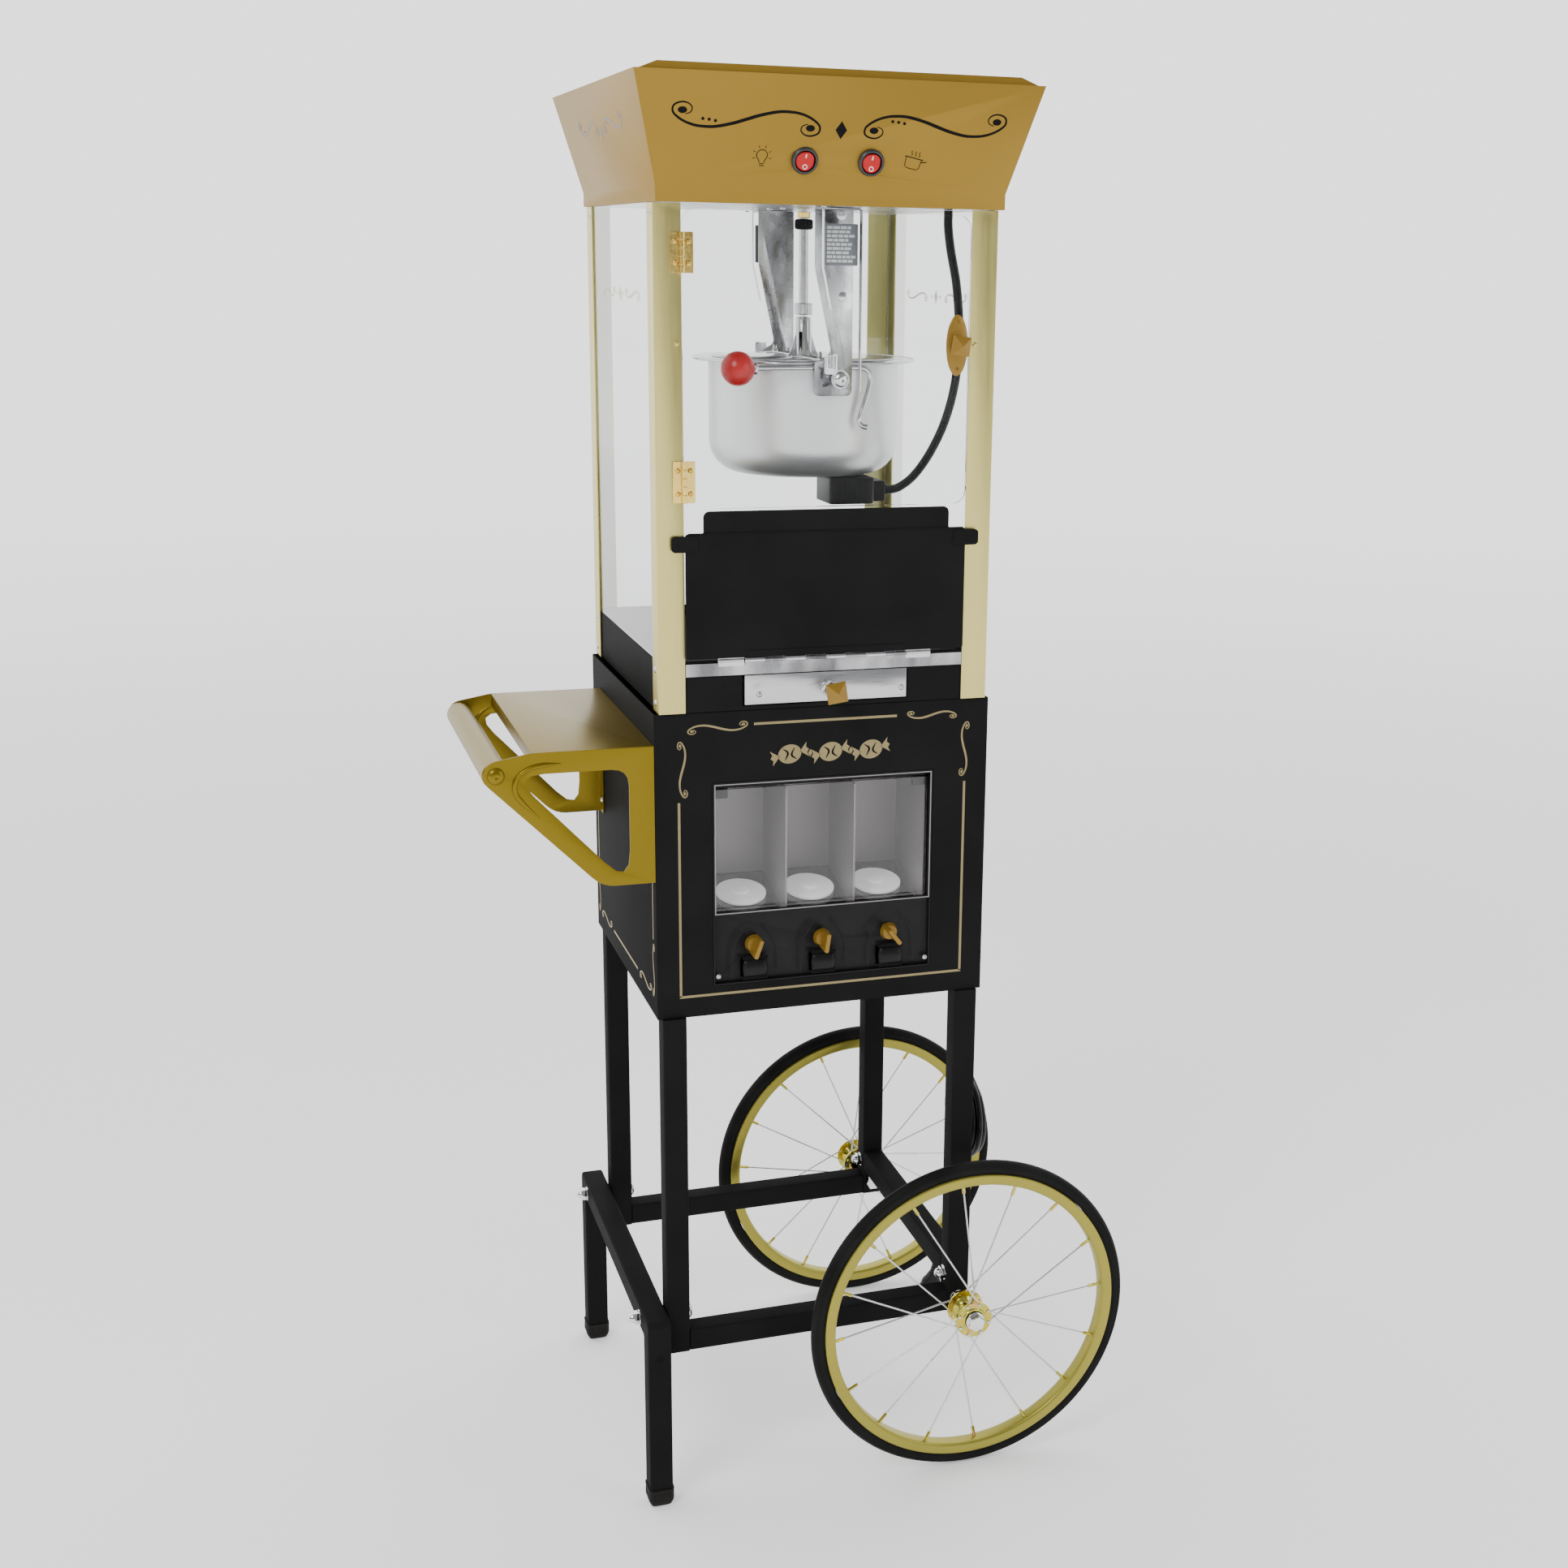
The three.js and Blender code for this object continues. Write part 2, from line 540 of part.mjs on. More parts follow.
// ---------- kettle ----------
function kettle() {
  const { radius: r, bottom, rim, wall } = KETTLE;
  const corner = 34;
  const bend = (radius, floor, inset) => Array.from({ length: 4 }, (_, i) => {
    const angle = (Math.PI / 2) * (i / 3);
    return [r - corner + radius * Math.sin(angle), floor + inset - radius * Math.cos(angle)];
  });
  const outside = bend(corner, bottom, corner);
  const inside = bend(corner - wall, bottom, corner).reverse();
  const profile = [[0, bottom], ...outside, [r, rim], [r - wall, rim], ...inside, [0, bottom + wall]];
  const body = new THREE.LatheGeometry(profile.map(([x, y]) => new THREE.Vector2(x, y)), 32);
  const pot = solid(body.rotateX(Math.PI / 2).translate(KETTLE.x, 0, 0));
  const pins = ENDS.map(([, sy]) => {
    const [near, far] = ordered(sy * (r - 1), sy * (HANGER.y + 5));
    return rod("y", 4, near, far, [KETTLE.x, KETTLE.pivotZ], 12);
  });
  add("kettle_pot", join(pot, ...pins), MATERIALS.aluminium);
}

// The flat rim with its crossbar and the bearing sleeve of the stirrer.
function deck() {
  const half = DECK.halfY;
  const ring = rod("z", DECK.radius, DECK.bottom, DECK.top, [KETTLE.x, 0], 36)
    .intersect(block(KETTLE.x - 200, KETTLE.x + 200, -half, half, DECK.bottom - 1, DECK.top + 1));
  const mouth = cut(
    rod("z", DECK.mouth, DECK.bottom - 1, DECK.top + 1, [KETTLE.x, 0], 28),
    block(KETTLE.x - DECK.bar, KETTLE.x + DECK.bar, -200, 200, DECK.bottom - 2, DECK.top + 2));
  const sleeve = rod("z", SLEEVE.radius, DECK.bottom, SLEEVE.top, [KETTLE.x, 0], 16);
  const bore = rod("z", SLEEVE.bore, DECK.bottom - 1, SLEEVE.top + 1, [KETTLE.x, 0], 16);
  add("kettle_deck", cut(join(cut(ring, mouth), sleeve), bore), MATERIALS.steel);
  for (const [side, sx] of SIDES) {
    const beyondBar = block(KETTLE.x + sx * DECK.bar, KETTLE.x + sx * 200, -200, 200, 0, 2000);
    const disc = rod("z", LID_RADIUS, DECK.top + GAP, DECK.top + GAP + 1.2, [KETTLE.x, 0], 40);
    const lid = disc.intersect(beyondBar);
    add(`kettle_lid_${side}`, lid, MATERIALS.steel);
  }
}

function hangers() {
  const x = KETTLE.x;
  const top = CEILING.z - GAP;
  for (const [end, sy] of ENDS) {
    const plate = outline(
      [[x - 20, top], [x - 20, 1320], [x - 2, 1236], [x - 20, 1226], [x - 20, 1193], [x + 20, 1193],
        [x + 20, 1320], [x + 20, top]], [0, 3, 6, 4, 6, 6, 3, 0]);
    const [near, far] = ordered(sy * HANGER.y, sy * (HANGER.y + HANGER.thick));
    const lug = block(x - 20, x + 20, sy * HANGER.y, sy * (HANGER.y + 26), top - HANGER.thick, top);
    const pivot = rod("y", 4.3, -200, 200, [x, KETTLE.pivotZ], 16);
    add(`hanger_${end}`, cut(join(slab("y", plate, near, far), lug), pivot), MATERIALS.steel);
  }
}

function heater() {
  const { x0, x1, y0, y1, bottom, plugX, plugY, plugZ } = HEATER;
  const box = outline(rectangle(x0, x1, y0, y1), 6);
  const housing = slab("z", box, bottom, KETTLE.bottom - GAP);
  add("heater_box", join(housing, rod("x", 8, x1 - 2, plugX, [plugY, plugZ], 16)), MATERIALS.plastic);
}

function leadToHeater() {
  const route = [
    [HEATER.plugX + GAP, HEATER.plugY, HEATER.plugZ], [106, HEATER.plugY, HEATER.plugZ], [116, -52, 1093],
    [129, -61, 1106], [142, -74, 1131],
    [152, -90, 1165], [157.5, -103, 1205], [158.5, -110, 1250], [154, -112, 1300], [146, -112, 1340],
    [143, -112, 1362], [143, -112, CEILING.z - GAP],
  ];
  add("kettle_lead", hose(route, LEAD_RADIUS, 26, 8), MATERIALS.rubber);
}

// Dump handle: a ball on a rod in front of the pot, bent down and hooked at its right end.
function dumpHandle() {
  const y = -105.3;
  const bar = hose([
    [-62, y, 1220.5], [-20, y, 1221], [30, y, 1221], [58, y, 1221], [63, y, 1216], [60, y, 1200],
    [52, y, 1168],
  ], 2.5, 16, 8);
  const ball = new THREE.SphereGeometry(17.3, 16, 10);
  ball.translate(-76, y, 1220);
  add("dump_handle", join(bar, solid(ball)), MATERIALS.red);
}

function stirrer() {
  const place = [KETTLE.x, 0];
  const arms = join(
    block(KETTLE.x - 62, KETTLE.x + 62, -3, 3, 1110, 1114),
    block(KETTLE.x - 3, KETTLE.x + 3, -40, 40, 1110, 1114));
  add("agitator", join(rod("z", 4.2, 1110, SLEEVE.top + 0.5, place, 12), arms), MATERIALS.steel);
  const shaft = join(
    rod("z", 5, 1276, 1371, place, 12), rod("z", 9, SLEEVE.top + 1.6, 1281, place, 16),
    rod("z", 10.4, 1356, 1368, place, 16), rod("z", 4, 1366, 1396, place, 12),
    rod("z", 6, 1366, 1376, place, 6));
  add("drive_shaft", shaft, MATERIALS.steel);
  const motor = block(KETTLE.x - 36, KETTLE.x + 36, -32, 32, CEILING.z + SHEET + GAP, 1432);
  add("gear_motor", cut(motor, rod("z", 4.4, CEILING.z, 1398, place, 16)), MATERIALS.steel);
}

// ---------- mains cord ----------
function mainsCord() {
  const { x, y, z } = CORD_EXIT;
  const side = BASE.halfX + GAP;
  const elbow = new THREE.SphereGeometry(6.5, 12, 6).translate(x, y, z + 40);
  const relief = join(
    rod("x", 8, side, side + 4, [y, z + 40], 12), rod("x", 6.5, side, x, [y, z + 40], 12),
    rod("z", 4.6, z, z + 40, [x, y], 12, 6.5), solid(elbow));
  add("cord_relief", relief, MATERIALS.rubber);
  const supply = [
    [x, y, z - GAP], [x, y, 820], [x + 0.5, y - 1, 740], [x + 0.5, y - 2, 650], [x, y - 3, 560],
    [x, y - 4, 490], [x, y - 6, 455], [x, y - 14, 433.5],
  ];
  add("mains_cord", hose(supply, CORD_RADIUS, 28, 8), MATERIALS.rubber);
  const ring = Array.from({ length: 8 }, (_, i) => {
    const angle = (2 * Math.PI * i) / 8;
    return [COIL.radius + COIL.bundle * Math.cos(angle), COIL.bundle * Math.sin(angle)];
  });
  const coil = turned("y", ring, 24).rotate([0, 0, 90]);
  add("mains_coil", coil, MATERIALS.rubber, [COIL.x, COIL.y, COIL.z]);
  const tail = [
    [x, -86, 327.5], [x + 1, -66, 312], [x + 3, -47, 284], [x + 7, -31, 247], [x + 11, -20, 212],
    [x + 12.8, -15, 190], [x + 11.2, -14, 174.8], [x + 7.4, -14, 160.6],
  ];
  add("mains_tail", hose(tail, CORD_RADIUS, 16, 8), MATERIALS.rubber);
  const body = outline([
    [-10, 0], [10, 0], [12.5, 26], [5.5, 36], [4.6, 66], [-4.6, 66], [-5.5, 36], [-12.5, 26],
  ], [3, 3, 3, 2, 0, 0, 2, 3]);
  const blades = [-6.35, 6.35].map((across) => block(across - 0.8, across + 0.8, -3.2, 3.2, -17, 1));
  const plug = join(slab("y", body, -6.5, 6.5), ...blades).rotate([0, 15, 0]);
  add("mains_plug", plug, MATERIALS.rubber, [x + 7.3 - 17.2, -14, 160 - GAP - 63.9]);
}

stand();
foot();
wheels();
cabinet();
fascia();
hopper();
candyColumns.forEach((_, i) => candyKnob(i + 1));
shelf();
machineBase();
posts();
glazing();
canopy();
rockers();
frontDoor();
servingHatch();
crumbTray();
kettle();
deck();
hangers();
heater();
leadToHeater();
dumpHandle();
stirrer();
mainsCord();

// The origin is the middle of the footprint, on the floor.
const extent = new THREE.Box3().setFromObject(cart);
const middle = extent.getCenter(new THREE.Vector3());
const group = new THREE.Group();
cart.position.set(-middle.x, -middle.y, 0);
group.add(cart);

export default group;
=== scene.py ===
"""Looks of the popcorn maker cart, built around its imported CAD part.

Lengths are millimetres in the cabinet's own frame: x from the cabinet's middle, y from the
middle of its depth, z from the floor. WORLD turns them into the part's frame in metres.
"""
import math
import random

import bmesh
import bpy
from mathutils import Matrix, Vector


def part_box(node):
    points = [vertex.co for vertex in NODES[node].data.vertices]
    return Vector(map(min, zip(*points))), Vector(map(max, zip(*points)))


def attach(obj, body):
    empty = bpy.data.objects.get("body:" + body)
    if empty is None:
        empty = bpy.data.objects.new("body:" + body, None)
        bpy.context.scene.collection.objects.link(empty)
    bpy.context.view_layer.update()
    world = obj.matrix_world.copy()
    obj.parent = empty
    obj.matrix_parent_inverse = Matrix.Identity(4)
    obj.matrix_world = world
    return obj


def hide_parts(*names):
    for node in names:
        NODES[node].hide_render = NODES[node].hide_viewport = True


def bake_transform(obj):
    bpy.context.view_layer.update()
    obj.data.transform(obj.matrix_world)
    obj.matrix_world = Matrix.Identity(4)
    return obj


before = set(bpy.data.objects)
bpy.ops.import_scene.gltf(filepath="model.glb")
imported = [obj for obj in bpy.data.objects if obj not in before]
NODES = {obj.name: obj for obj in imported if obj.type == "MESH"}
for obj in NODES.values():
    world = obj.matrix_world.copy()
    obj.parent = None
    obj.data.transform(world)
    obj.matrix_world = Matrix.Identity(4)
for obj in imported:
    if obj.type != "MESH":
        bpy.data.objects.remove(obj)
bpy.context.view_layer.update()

# ---------- the frame's own sizes ----------
MM = 0.001
shell_low, shell_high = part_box("cabinet_shell")
MID_X = (shell_low.x + shell_high.x) / 2
WORLD = Matrix.Translation((MID_X, 0, 0)) @ Matrix.Scale(MM, 4)


def box_of(node):
    """Lowest and highest corner of a CAD node in the cabinet's frame, in millimetres."""
    low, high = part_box(node)
    back = WORLD.inverted()
    return back @ low, back @ high


def metres(x, y, z):
    return WORLD @ Vector((x, y, z))


def shifted(x, y, z):
    return Matrix.Translation((x, y, z))


def spun(degrees, axis):
    return Matrix.Rotation(math.radians(degrees), 4, axis)


CABINET = box_of("cabinet_shell")
FACE_Y = CABINET[0].y
SIDE_X = CABINET[0].x
POST = box_of("post_front_left")
CANOPY = box_of("canopy")
KETTLE_LOW, KETTLE_HIGH = box_of("kettle_pot")
KETTLE_X = (KETTLE_LOW.x + KETTLE_HIGH.x) / 2
PIVOT_Z = 1211
CEILING_Z = box_of("ceiling_plate")[0].z
GAP = 0.3

# ---------- camera, floor and light ----------
CAMERA_PLACE = (-595.4, -2148.6, 1334.8)
CAMERA_YAW, CAMERA_PITCH, CAMERA_ROLL = 0.334, -0.2622, 0.0187
LENS = 47.04
SHIFT = (-0.079, 0.0124)


def camera():
    yaw, pitch, roll = CAMERA_YAW, CAMERA_PITCH, CAMERA_ROLL
    forward = Vector((math.sin(yaw) * math.cos(pitch), math.cos(yaw) * math.cos(pitch), math.sin(pitch)))
    right = Vector((math.cos(yaw), -math.sin(yaw), 0))
    up = right.cross(forward)
    side = math.cos(roll) * right + math.sin(roll) * up
    top = -math.sin(roll) * right + math.cos(roll) * up
    data = bpy.data.cameras.new("camera")
    data.sensor_width = 36
    data.lens = LENS
    data.shift_x, data.shift_y = SHIFT
    data.clip_end = 100
    view = bpy.data.objects.new("camera", data)
    turn = Matrix((side, top, -forward)).transposed().to_4x4()
    view.matrix_world = Matrix.Translation(metres(*CAMERA_PLACE)) @ turn
    bpy.context.scene.collection.objects.link(view)
    bpy.context.scene.camera = view


def area_light(name, place, aim, size, power):
    data = bpy.data.lights.new(name, "AREA")
    data.shape = "RECTANGLE"
    data.size, data.size_y = size
    data.energy = power
    lamp = bpy.data.objects.new(name, data)
    lamp.location = place
    lamp.rotation_euler = (Vector(aim) - Vector(place)).to_track_quat("-Z", "Y").to_euler()
    bpy.context.scene.collection.objects.link(lamp)


def studio():
    """White surroundings: bright behind the cart and overhead, dimmer on the viewer's side."""
    world = bpy.data.worlds.new("studio")
    bpy.context.scene.world = world
    world.use_nodes = True
    tree = world.node_tree
    place = tree.nodes.new("ShaderNodeTexCoord")
    split = tree.nodes.new("ShaderNodeSeparateXYZ")
    tree.links.new(place.outputs["Generated"], split.inputs[0])
    depth = tree.nodes.new("ShaderNodeMapRange")
    depth.inputs["From Min"].default_value = -0.35
    depth.inputs["From Max"].default_value = 0.45
    depth.interpolation_type = "SMOOTHSTEP"
    tree.links.new(split.outputs["Y"], depth.inputs["Value"])
    ramp = tree.nodes.new("ShaderNodeValToRGB")
    ramp.color_ramp.elements[0].color = (0.15, 0.152, 0.158, 1)
    ramp.color_ramp.elements[1].color = (1, 1, 1, 1)
    tree.links.new(depth.outputs["Result"], ramp.inputs["Fac"])
    background = tree.nodes["Background"]
    background.inputs["Strength"].default_value = 2.1
    tree.links.new(ramp.outputs["Color"], background.inputs["Color"])
    area_light("key_light", (-2.2, -2.0, 3.2), (0, 0, 0.9), (1.4, 1.4), 60)
    area_light("fill_light", (2.6, -2.2, 2.0), (0, 0, 0.8), (1.2, 1.8), 24)


# ---------- materials ----------
def new_material(name):
    material = bpy.data.materials.new(name)
    material.use_nodes = True
    return material, material.node_tree, material.node_tree.nodes["Principled BSDF"]


def noise(tree, scale, stretch=(1, 1, 1), detail=3):
    place = tree.nodes.new("ShaderNodeTexCoord")
    mapping = tree.nodes.new("ShaderNodeMapping")
    mapping.inputs["Scale"].default_value = stretch
    texture = tree.nodes.new("ShaderNodeTexNoise")
    texture.inputs["Scale"].default_value = scale
    texture.inputs["Detail"].default_value = detail
    tree.links.new(place.outputs["Object"], mapping.inputs["Vector"])
    tree.links.new(mapping.outputs["Vector"], texture.inputs["Vector"])
    return texture.outputs["Fac"]


def ramp_of(tree, factor, stops):
    ramp = tree.nodes.new("ShaderNodeValToRGB")
    elements = ramp.color_ramp.elements
    while len(elements) < len(stops):
        elements.new(0.5)
    for element, (position, color) in zip(elements, stops):
        element.position = position
        element.color = (*color, 1) if len(color) == 3 else color
    tree.links.new(factor, ramp.inputs["Fac"])
    return ramp.outputs["Color"]


def bump_from(tree, shader, heights):
    """Chains bumps; heights is a list of (factor socket, strength, distance in metres)."""
    normal = None
    for factor, strength, distance in heights:
        bump = tree.nodes.new("ShaderNodeBump")
        bump.inputs["Strength"].default_value = strength
        bump.inputs["Distance"].default_value = distance
        tree.links.new(factor, bump.inputs["Height"])
        if normal:
            tree.links.new(normal, bump.inputs["Normal"])
        normal = bump.outputs["Normal"]
    tree.links.new(normal, shader.inputs["Normal"])


def shade(color, factor):
    return tuple(min(1.0, channel * factor) for channel in color)


def surface(name, color, metallic=0.0, roughness=0.5, spread=0.08, vary=0.12, blotch=9,
            grain=None, stretch=(1, 1, 1), bumps=(), gloss=0.5, glow=0.0):
    """Painted, plated or moulded surface: mottled colour, uneven roughness and fine bumps.

    The roughness wanders by spread at the scale grain, and the colour by the share vary at the
    scale blotch. Bumps are (scale, strength, depth in metres), glow is light of its own.
    """
    material, tree, shader = new_material(name)
    clouds = noise(tree, blotch, stretch)
    mottled = ramp_of(tree, clouds, [(0.3, shade(color, 1 - vary)), (0.7, shade(color, 1 + vary))])
    tree.links.new(mottled, shader.inputs["Base Color"])
    fine = noise(tree, grain or blotch * 12, stretch, detail=2)
    low, high = roughness - spread, roughness + spread
    rough = ramp_of(tree, fine, [(0.3, (low,) * 3), (0.7, (high,) * 3)])
    tree.links.new(rough, shader.inputs["Roughness"])
    shader.inputs["Metallic"].default_value = metallic
    shader.inputs["Specular IOR Level"].default_value = gloss
    if glow:
        shader.inputs["Emission Color"].default_value = (*color, 1)
        shader.inputs["Emission Strength"].default_value = glow
    if bumps:
        heights = [(noise(tree, scale, stretch), strength, depth) for scale, strength, depth in bumps]
        bump_from(tree, shader, heights)
    return material


def clear(name, tint, roughness, ior=1.49, gloss=0.1):
    """Clear sheet that lets the lamps' light through to what it encloses."""
    material, tree, shader = new_material(name)
    shader.inputs["Base Color"].default_value = (*tint, 1)
    shader.inputs["Roughness"].default_value = roughness
    shader.inputs["IOR"].default_value = ior
    shader.inputs["Specular IOR Level"].default_value = gloss
    shader.inputs["Transmission Weight"].default_value = 1.0
    path = tree.nodes.new("ShaderNodeLightPath")
    open_air = tree.nodes.new("ShaderNodeBsdfTransparent")
    open_air.inputs["Color"].default_value = (*tint, 1)
    mix = tree.nodes.new("ShaderNodeMixShader")
    tree.links.new(path.outputs["Is Shadow Ray"], mix.inputs["Fac"])
    tree.links.new(shader.outputs["BSDF"], mix.inputs[1])
    tree.links.new(open_air.outputs["BSDF"], mix.inputs[2])
    tree.links.new(mix.outputs["Shader"], tree.nodes["Material Output"].inputs["Surface"])
    return material


def plated(name, stops, roughness):
    """Zinc plating whose colour drifts in soft clouds."""
    material, tree, shader = new_material(name)
    tree.links.new(ramp_of(tree, noise(tree, 45, detail=2), stops), shader.inputs["Base Color"])
    rough = ramp_of(tree, noise(tree, 300),
                    [(0.3, (roughness - 0.06,) * 3), (0.7, (roughness + 0.08,) * 3)])
    tree.links.new(rough, shader.inputs["Roughness"])
    shader.inputs["Metallic"].default_value = 1.0
    return material


def smeared_steel(name):
    """Galvanised sheet with rubbed marks and darker smears."""
    material, tree, shader = new_material(name)
    smears = noise(tree, 30, (1, 1, 0.45), detail=6)
    color = ramp_of(tree, smears,
                    [(0.35, (0.20, 0.20, 0.21)), (0.55, (0.42, 0.42, 0.43)), (0.75, (0.66, 0.66, 0.67))])
    tree.links.new(color, shader.inputs["Base Color"])
    rough = ramp_of(tree, noise(tree, 55, detail=5), [(0.3, (0.16,) * 3), (0.75, (0.42,) * 3)])
    tree.links.new(rough, shader.inputs["Roughness"])
    shader.inputs["Metallic"].default_value = 1.0
    bump_from(tree, shader, [(noise(tree, 260, detail=4), 0.08, 0.0004)])
    return material


ORANGE_PEEL = [(950, 0.16, 0.0006), (140, 0.05, 0.001)]
BLACK = surface("black_powder_coat", (0.0135, 0.0135, 0.0138), 0.0, 0.56, 0.05, 0.10, 14, 700,
                bumps=ORANGE_PEEL, gloss=0.01)
PALE_GOLD = surface("pale_gold", (0.66, 0.58, 0.205), 0.85, 0.34, 0.05, 0.03, 5, 260, (1, 1, 0.06),
                    [(420, 0.025, 0.0003)])
CANOPY_GOLD = surface("canopy_gold", (0.30, 0.18, 0.022), 0.5, 0.46, 0.05, 0.05, 4, 1100,
                      bumps=[(1300, 0.10, 0.0003)], gloss=0.3)
SHELF_GOLD = surface("shelf_gold", (0.215, 0.15, 0.009), 0.7, 0.33, 0.05, 0.05, 4, 1100,
                     bumps=[(1300, 0.09, 0.0003)], gloss=0.3)
RIM_GOLD = surface("rim_gold", (0.37, 0.325, 0.055), 0.75, 0.38, 0.06, 0.07, 8, 900,
                   bumps=[(900, 0.10, 0.0004)])
STRIPE_GOLD = surface("stripe_gold", (0.30, 0.235, 0.105), 0.25, 0.48, 0.05, 0.05, 20, 600)
BRASS = surface("polished_brass", (0.80, 0.58, 0.16), 1.0, 0.16, 0.05, 0.10, 30, 300,
                bumps=[(180, 0.04, 0.0005)])
AMBER = surface("amber_plastic", (0.28, 0.16, 0.018), 0.25, 0.36, 0.05, 0.05, 25, 700,
                bumps=[(900, 0.05, 0.0003)], gloss=0.4)
STEEL = surface("bright_steel", (0.66, 0.66, 0.67), 1.0, 0.20, 0.06, 0.08, 40, 500,
                bumps=[(260, 0.03, 0.0004)])
SATIN_STEEL = surface("satin_steel", (0.62, 0.62, 0.63), 1.0, 0.33, 0.07, 0.05, 12, 700, (0.06, 1, 1),
                      [(900, 0.06, 0.0003)])
ALUMINIUM = surface("blasted_aluminium", (0.80, 0.80, 0.81), 0.85, 0.42, 0.05, 0.03, 6, 1600,
                    bumps=[(2200, 0.10, 0.0002)])
CHROME = surface("chrome", (0.80, 0.80, 0.81), 1.0, 0.09, 0.03, 0.04, 60, 400)
SMEARED = smeared_steel("galvanised_steel")
ZINC = plated("yellow_zinc",
              [(0.30, (0.62, 0.47, 0.05)), (0.50, (0.50, 0.47, 0.09)), (0.62, (0.66, 0.52, 0.12)),
               (0.74, (0.62, 0.30, 0.12))], 0.18)
COPPER = plated("copper_tint", [(0.3, (0.62, 0.30, 0.12)), (0.7, (0.70, 0.45, 0.16))], 0.2)
RUBBER = surface("tyre_rubber", (0.013, 0.013, 0.0125), 0.0, 0.52, 0.08, 0.25, 18, 420,
                 bumps=[(600, 0.12, 0.0005), (60, 0.05, 0.001)], gloss=0.05)
BOOT = surface("foot_rubber", (0.013, 0.012, 0.011), 0.0, 0.66, 0.06, 0.3, 60, 500,
               bumps=[(380, 0.25, 0.0008)], gloss=0.15)
JACKET = surface("cord_jacket", (0.009, 0.009, 0.0095), 0.0, 0.36, 0.05, 0.15, 30, 500,
                 bumps=[(700, 0.06, 0.0003)], gloss=0.25)
PLASTIC = surface("black_plastic", (0.010, 0.010, 0.0105), 0.0, 0.36, 0.05, 0.12, 40, 800,
                  bumps=[(1100, 0.10, 0.0003)], gloss=0.16)
DARK_GREY = surface("bezel_plastic", (0.030, 0.031, 0.034), 0.0, 0.34, 0.04, 0.08, 40, 800)
RED = surface("red_lacquer", (0.42, 0.004, 0.005), 0.0, 0.3, 0.05, 0.10, 30, 300, gloss=0.4)
RED_KEY = surface("red_key", (0.52, 0.006, 0.008), 0.0, 0.24, 0.04, 0.06, 60, 300, gloss=0.3)
WHITE = surface("white_plastic", (0.86, 0.86, 0.85), 0.0, 0.35, 0.04, 0.02, 20, 300)
# Black ink for print and the dark dust caps; also the black patches that paint the shade in slots and a hole.
INK_AND_SHADE = surface("black_ink_and_painted_shade", (0.007, 0.007, 0.007), 0.0, 0.6, 0.05, 0.05, 30, 400, gloss=0.05)
GREY_INK = surface("grey_ink", (0.17, 0.18, 0.20), 0.1, 0.5, 0.05, 0.05, 30, 400)
# Grey lining of the hopper's walls; also the pale strip that paints a highlight round the fascia's window.
LINING_AND_HIGHLIGHT = surface("grey_lining_and_painted_highlight", (0.31, 0.29, 0.29), 0.55, 0.45, 0.06, 0.10, 9, 500, (1, 1, 0.3),
                 [(700, 0.06, 0.0004)])
# White plastic with a painted glow: its emission brightens the auger discs, which hold no lamp.
PAINTED_GLOW_WHITE = surface("white_plastic_painted_glow", (0.88, 0.88, 0.87), 0.0, 0.35, 0.04, 0.02, 20, 300, glow=0.45)
PALE_PRINT = surface("pale_print", (0.62, 0.64, 0.63), 0.2, 0.4, 0.05, 0.06, 30, 300)
FROSTED = surface("frosted_gold", (0.72, 0.70, 0.48), 0.1, 0.6, 0.05, 0.04, 20, 300)
GLASS = clear("clear_glass", (0.965, 0.985, 0.975), 0.0, 1.45)
ACRYLIC = clear("clear_acrylic", (0.975, 0.985, 0.985), 0.0, 1.15)
SMOKED = clear("hopper_acrylic", (0.90, 0.895, 0.90), 0.02)

# ---------- outlines and solids ----------
FACINGS = {
    "front": ((1, 0, 0), (0, 0, 1)),
    "back": ((-1, 0, 0), (0, 0, 1)),
    "left": ((0, -1, 0), (0, 0, 1)),
    "right": ((0, 1, 0), (0, 0, 1)),
    "top": ((1, 0, 0), (0, 1, 0)),
    "bottom": ((1, 0, 0), (0, -1, 0)),
}


def facing(side, x=0, y=0, z=0, spin=0):
    """A place on a flat side: local x runs right and y up as seen, and z comes out of it."""
    across, up = (Vector(axis) for axis in FACINGS[side])
    turn = Matrix((across, up, across.cross(up))).transposed().to_4x4()
    return shifted(x, y, z) @ turn @ spun(spin, "Z")


def filleted(corners, steps=6):
    """Outline through (x, y, radius) corners, each rounded by a true arc of its radius."""
    points = []
    for i, (x, y, radius) in enumerate(corners):
        corner = Vector((x, y))
        before = Vector(corners[i - 1][:2]) - corner
        after = Vector(corners[(i + 1) % len(corners)][:2]) - corner
        if radius <= 0:
            points.append(corner)
            continue
        half = before.angle(after) / 2
        middle = corner + (before.normalized() + after.normalized()).normalized() * radius / math.sin(half)
        start = corner + before.normalized() * radius / math.tan(half) - middle
        sweep = start.angle_signed(corner + after.normalized() * radius / math.tan(half) - middle)
        for step in range(steps + 1):
            turn = Matrix.Rotation(-sweep * step / steps, 2)
            points.append(middle + turn @ start)
    return [tuple(point) for point in points]


def panel_points(x0, x1, y0, y1):
    return [(x0, y0), (x1, y0), (x1, y1), (x0, y1)]


def panel(x0, x1, y0, y1, radius):
    """Corners of a rectangle for filleted()."""
    return [(x, y, radius) for x, y in panel_points(x0, x1, y0, y1)]


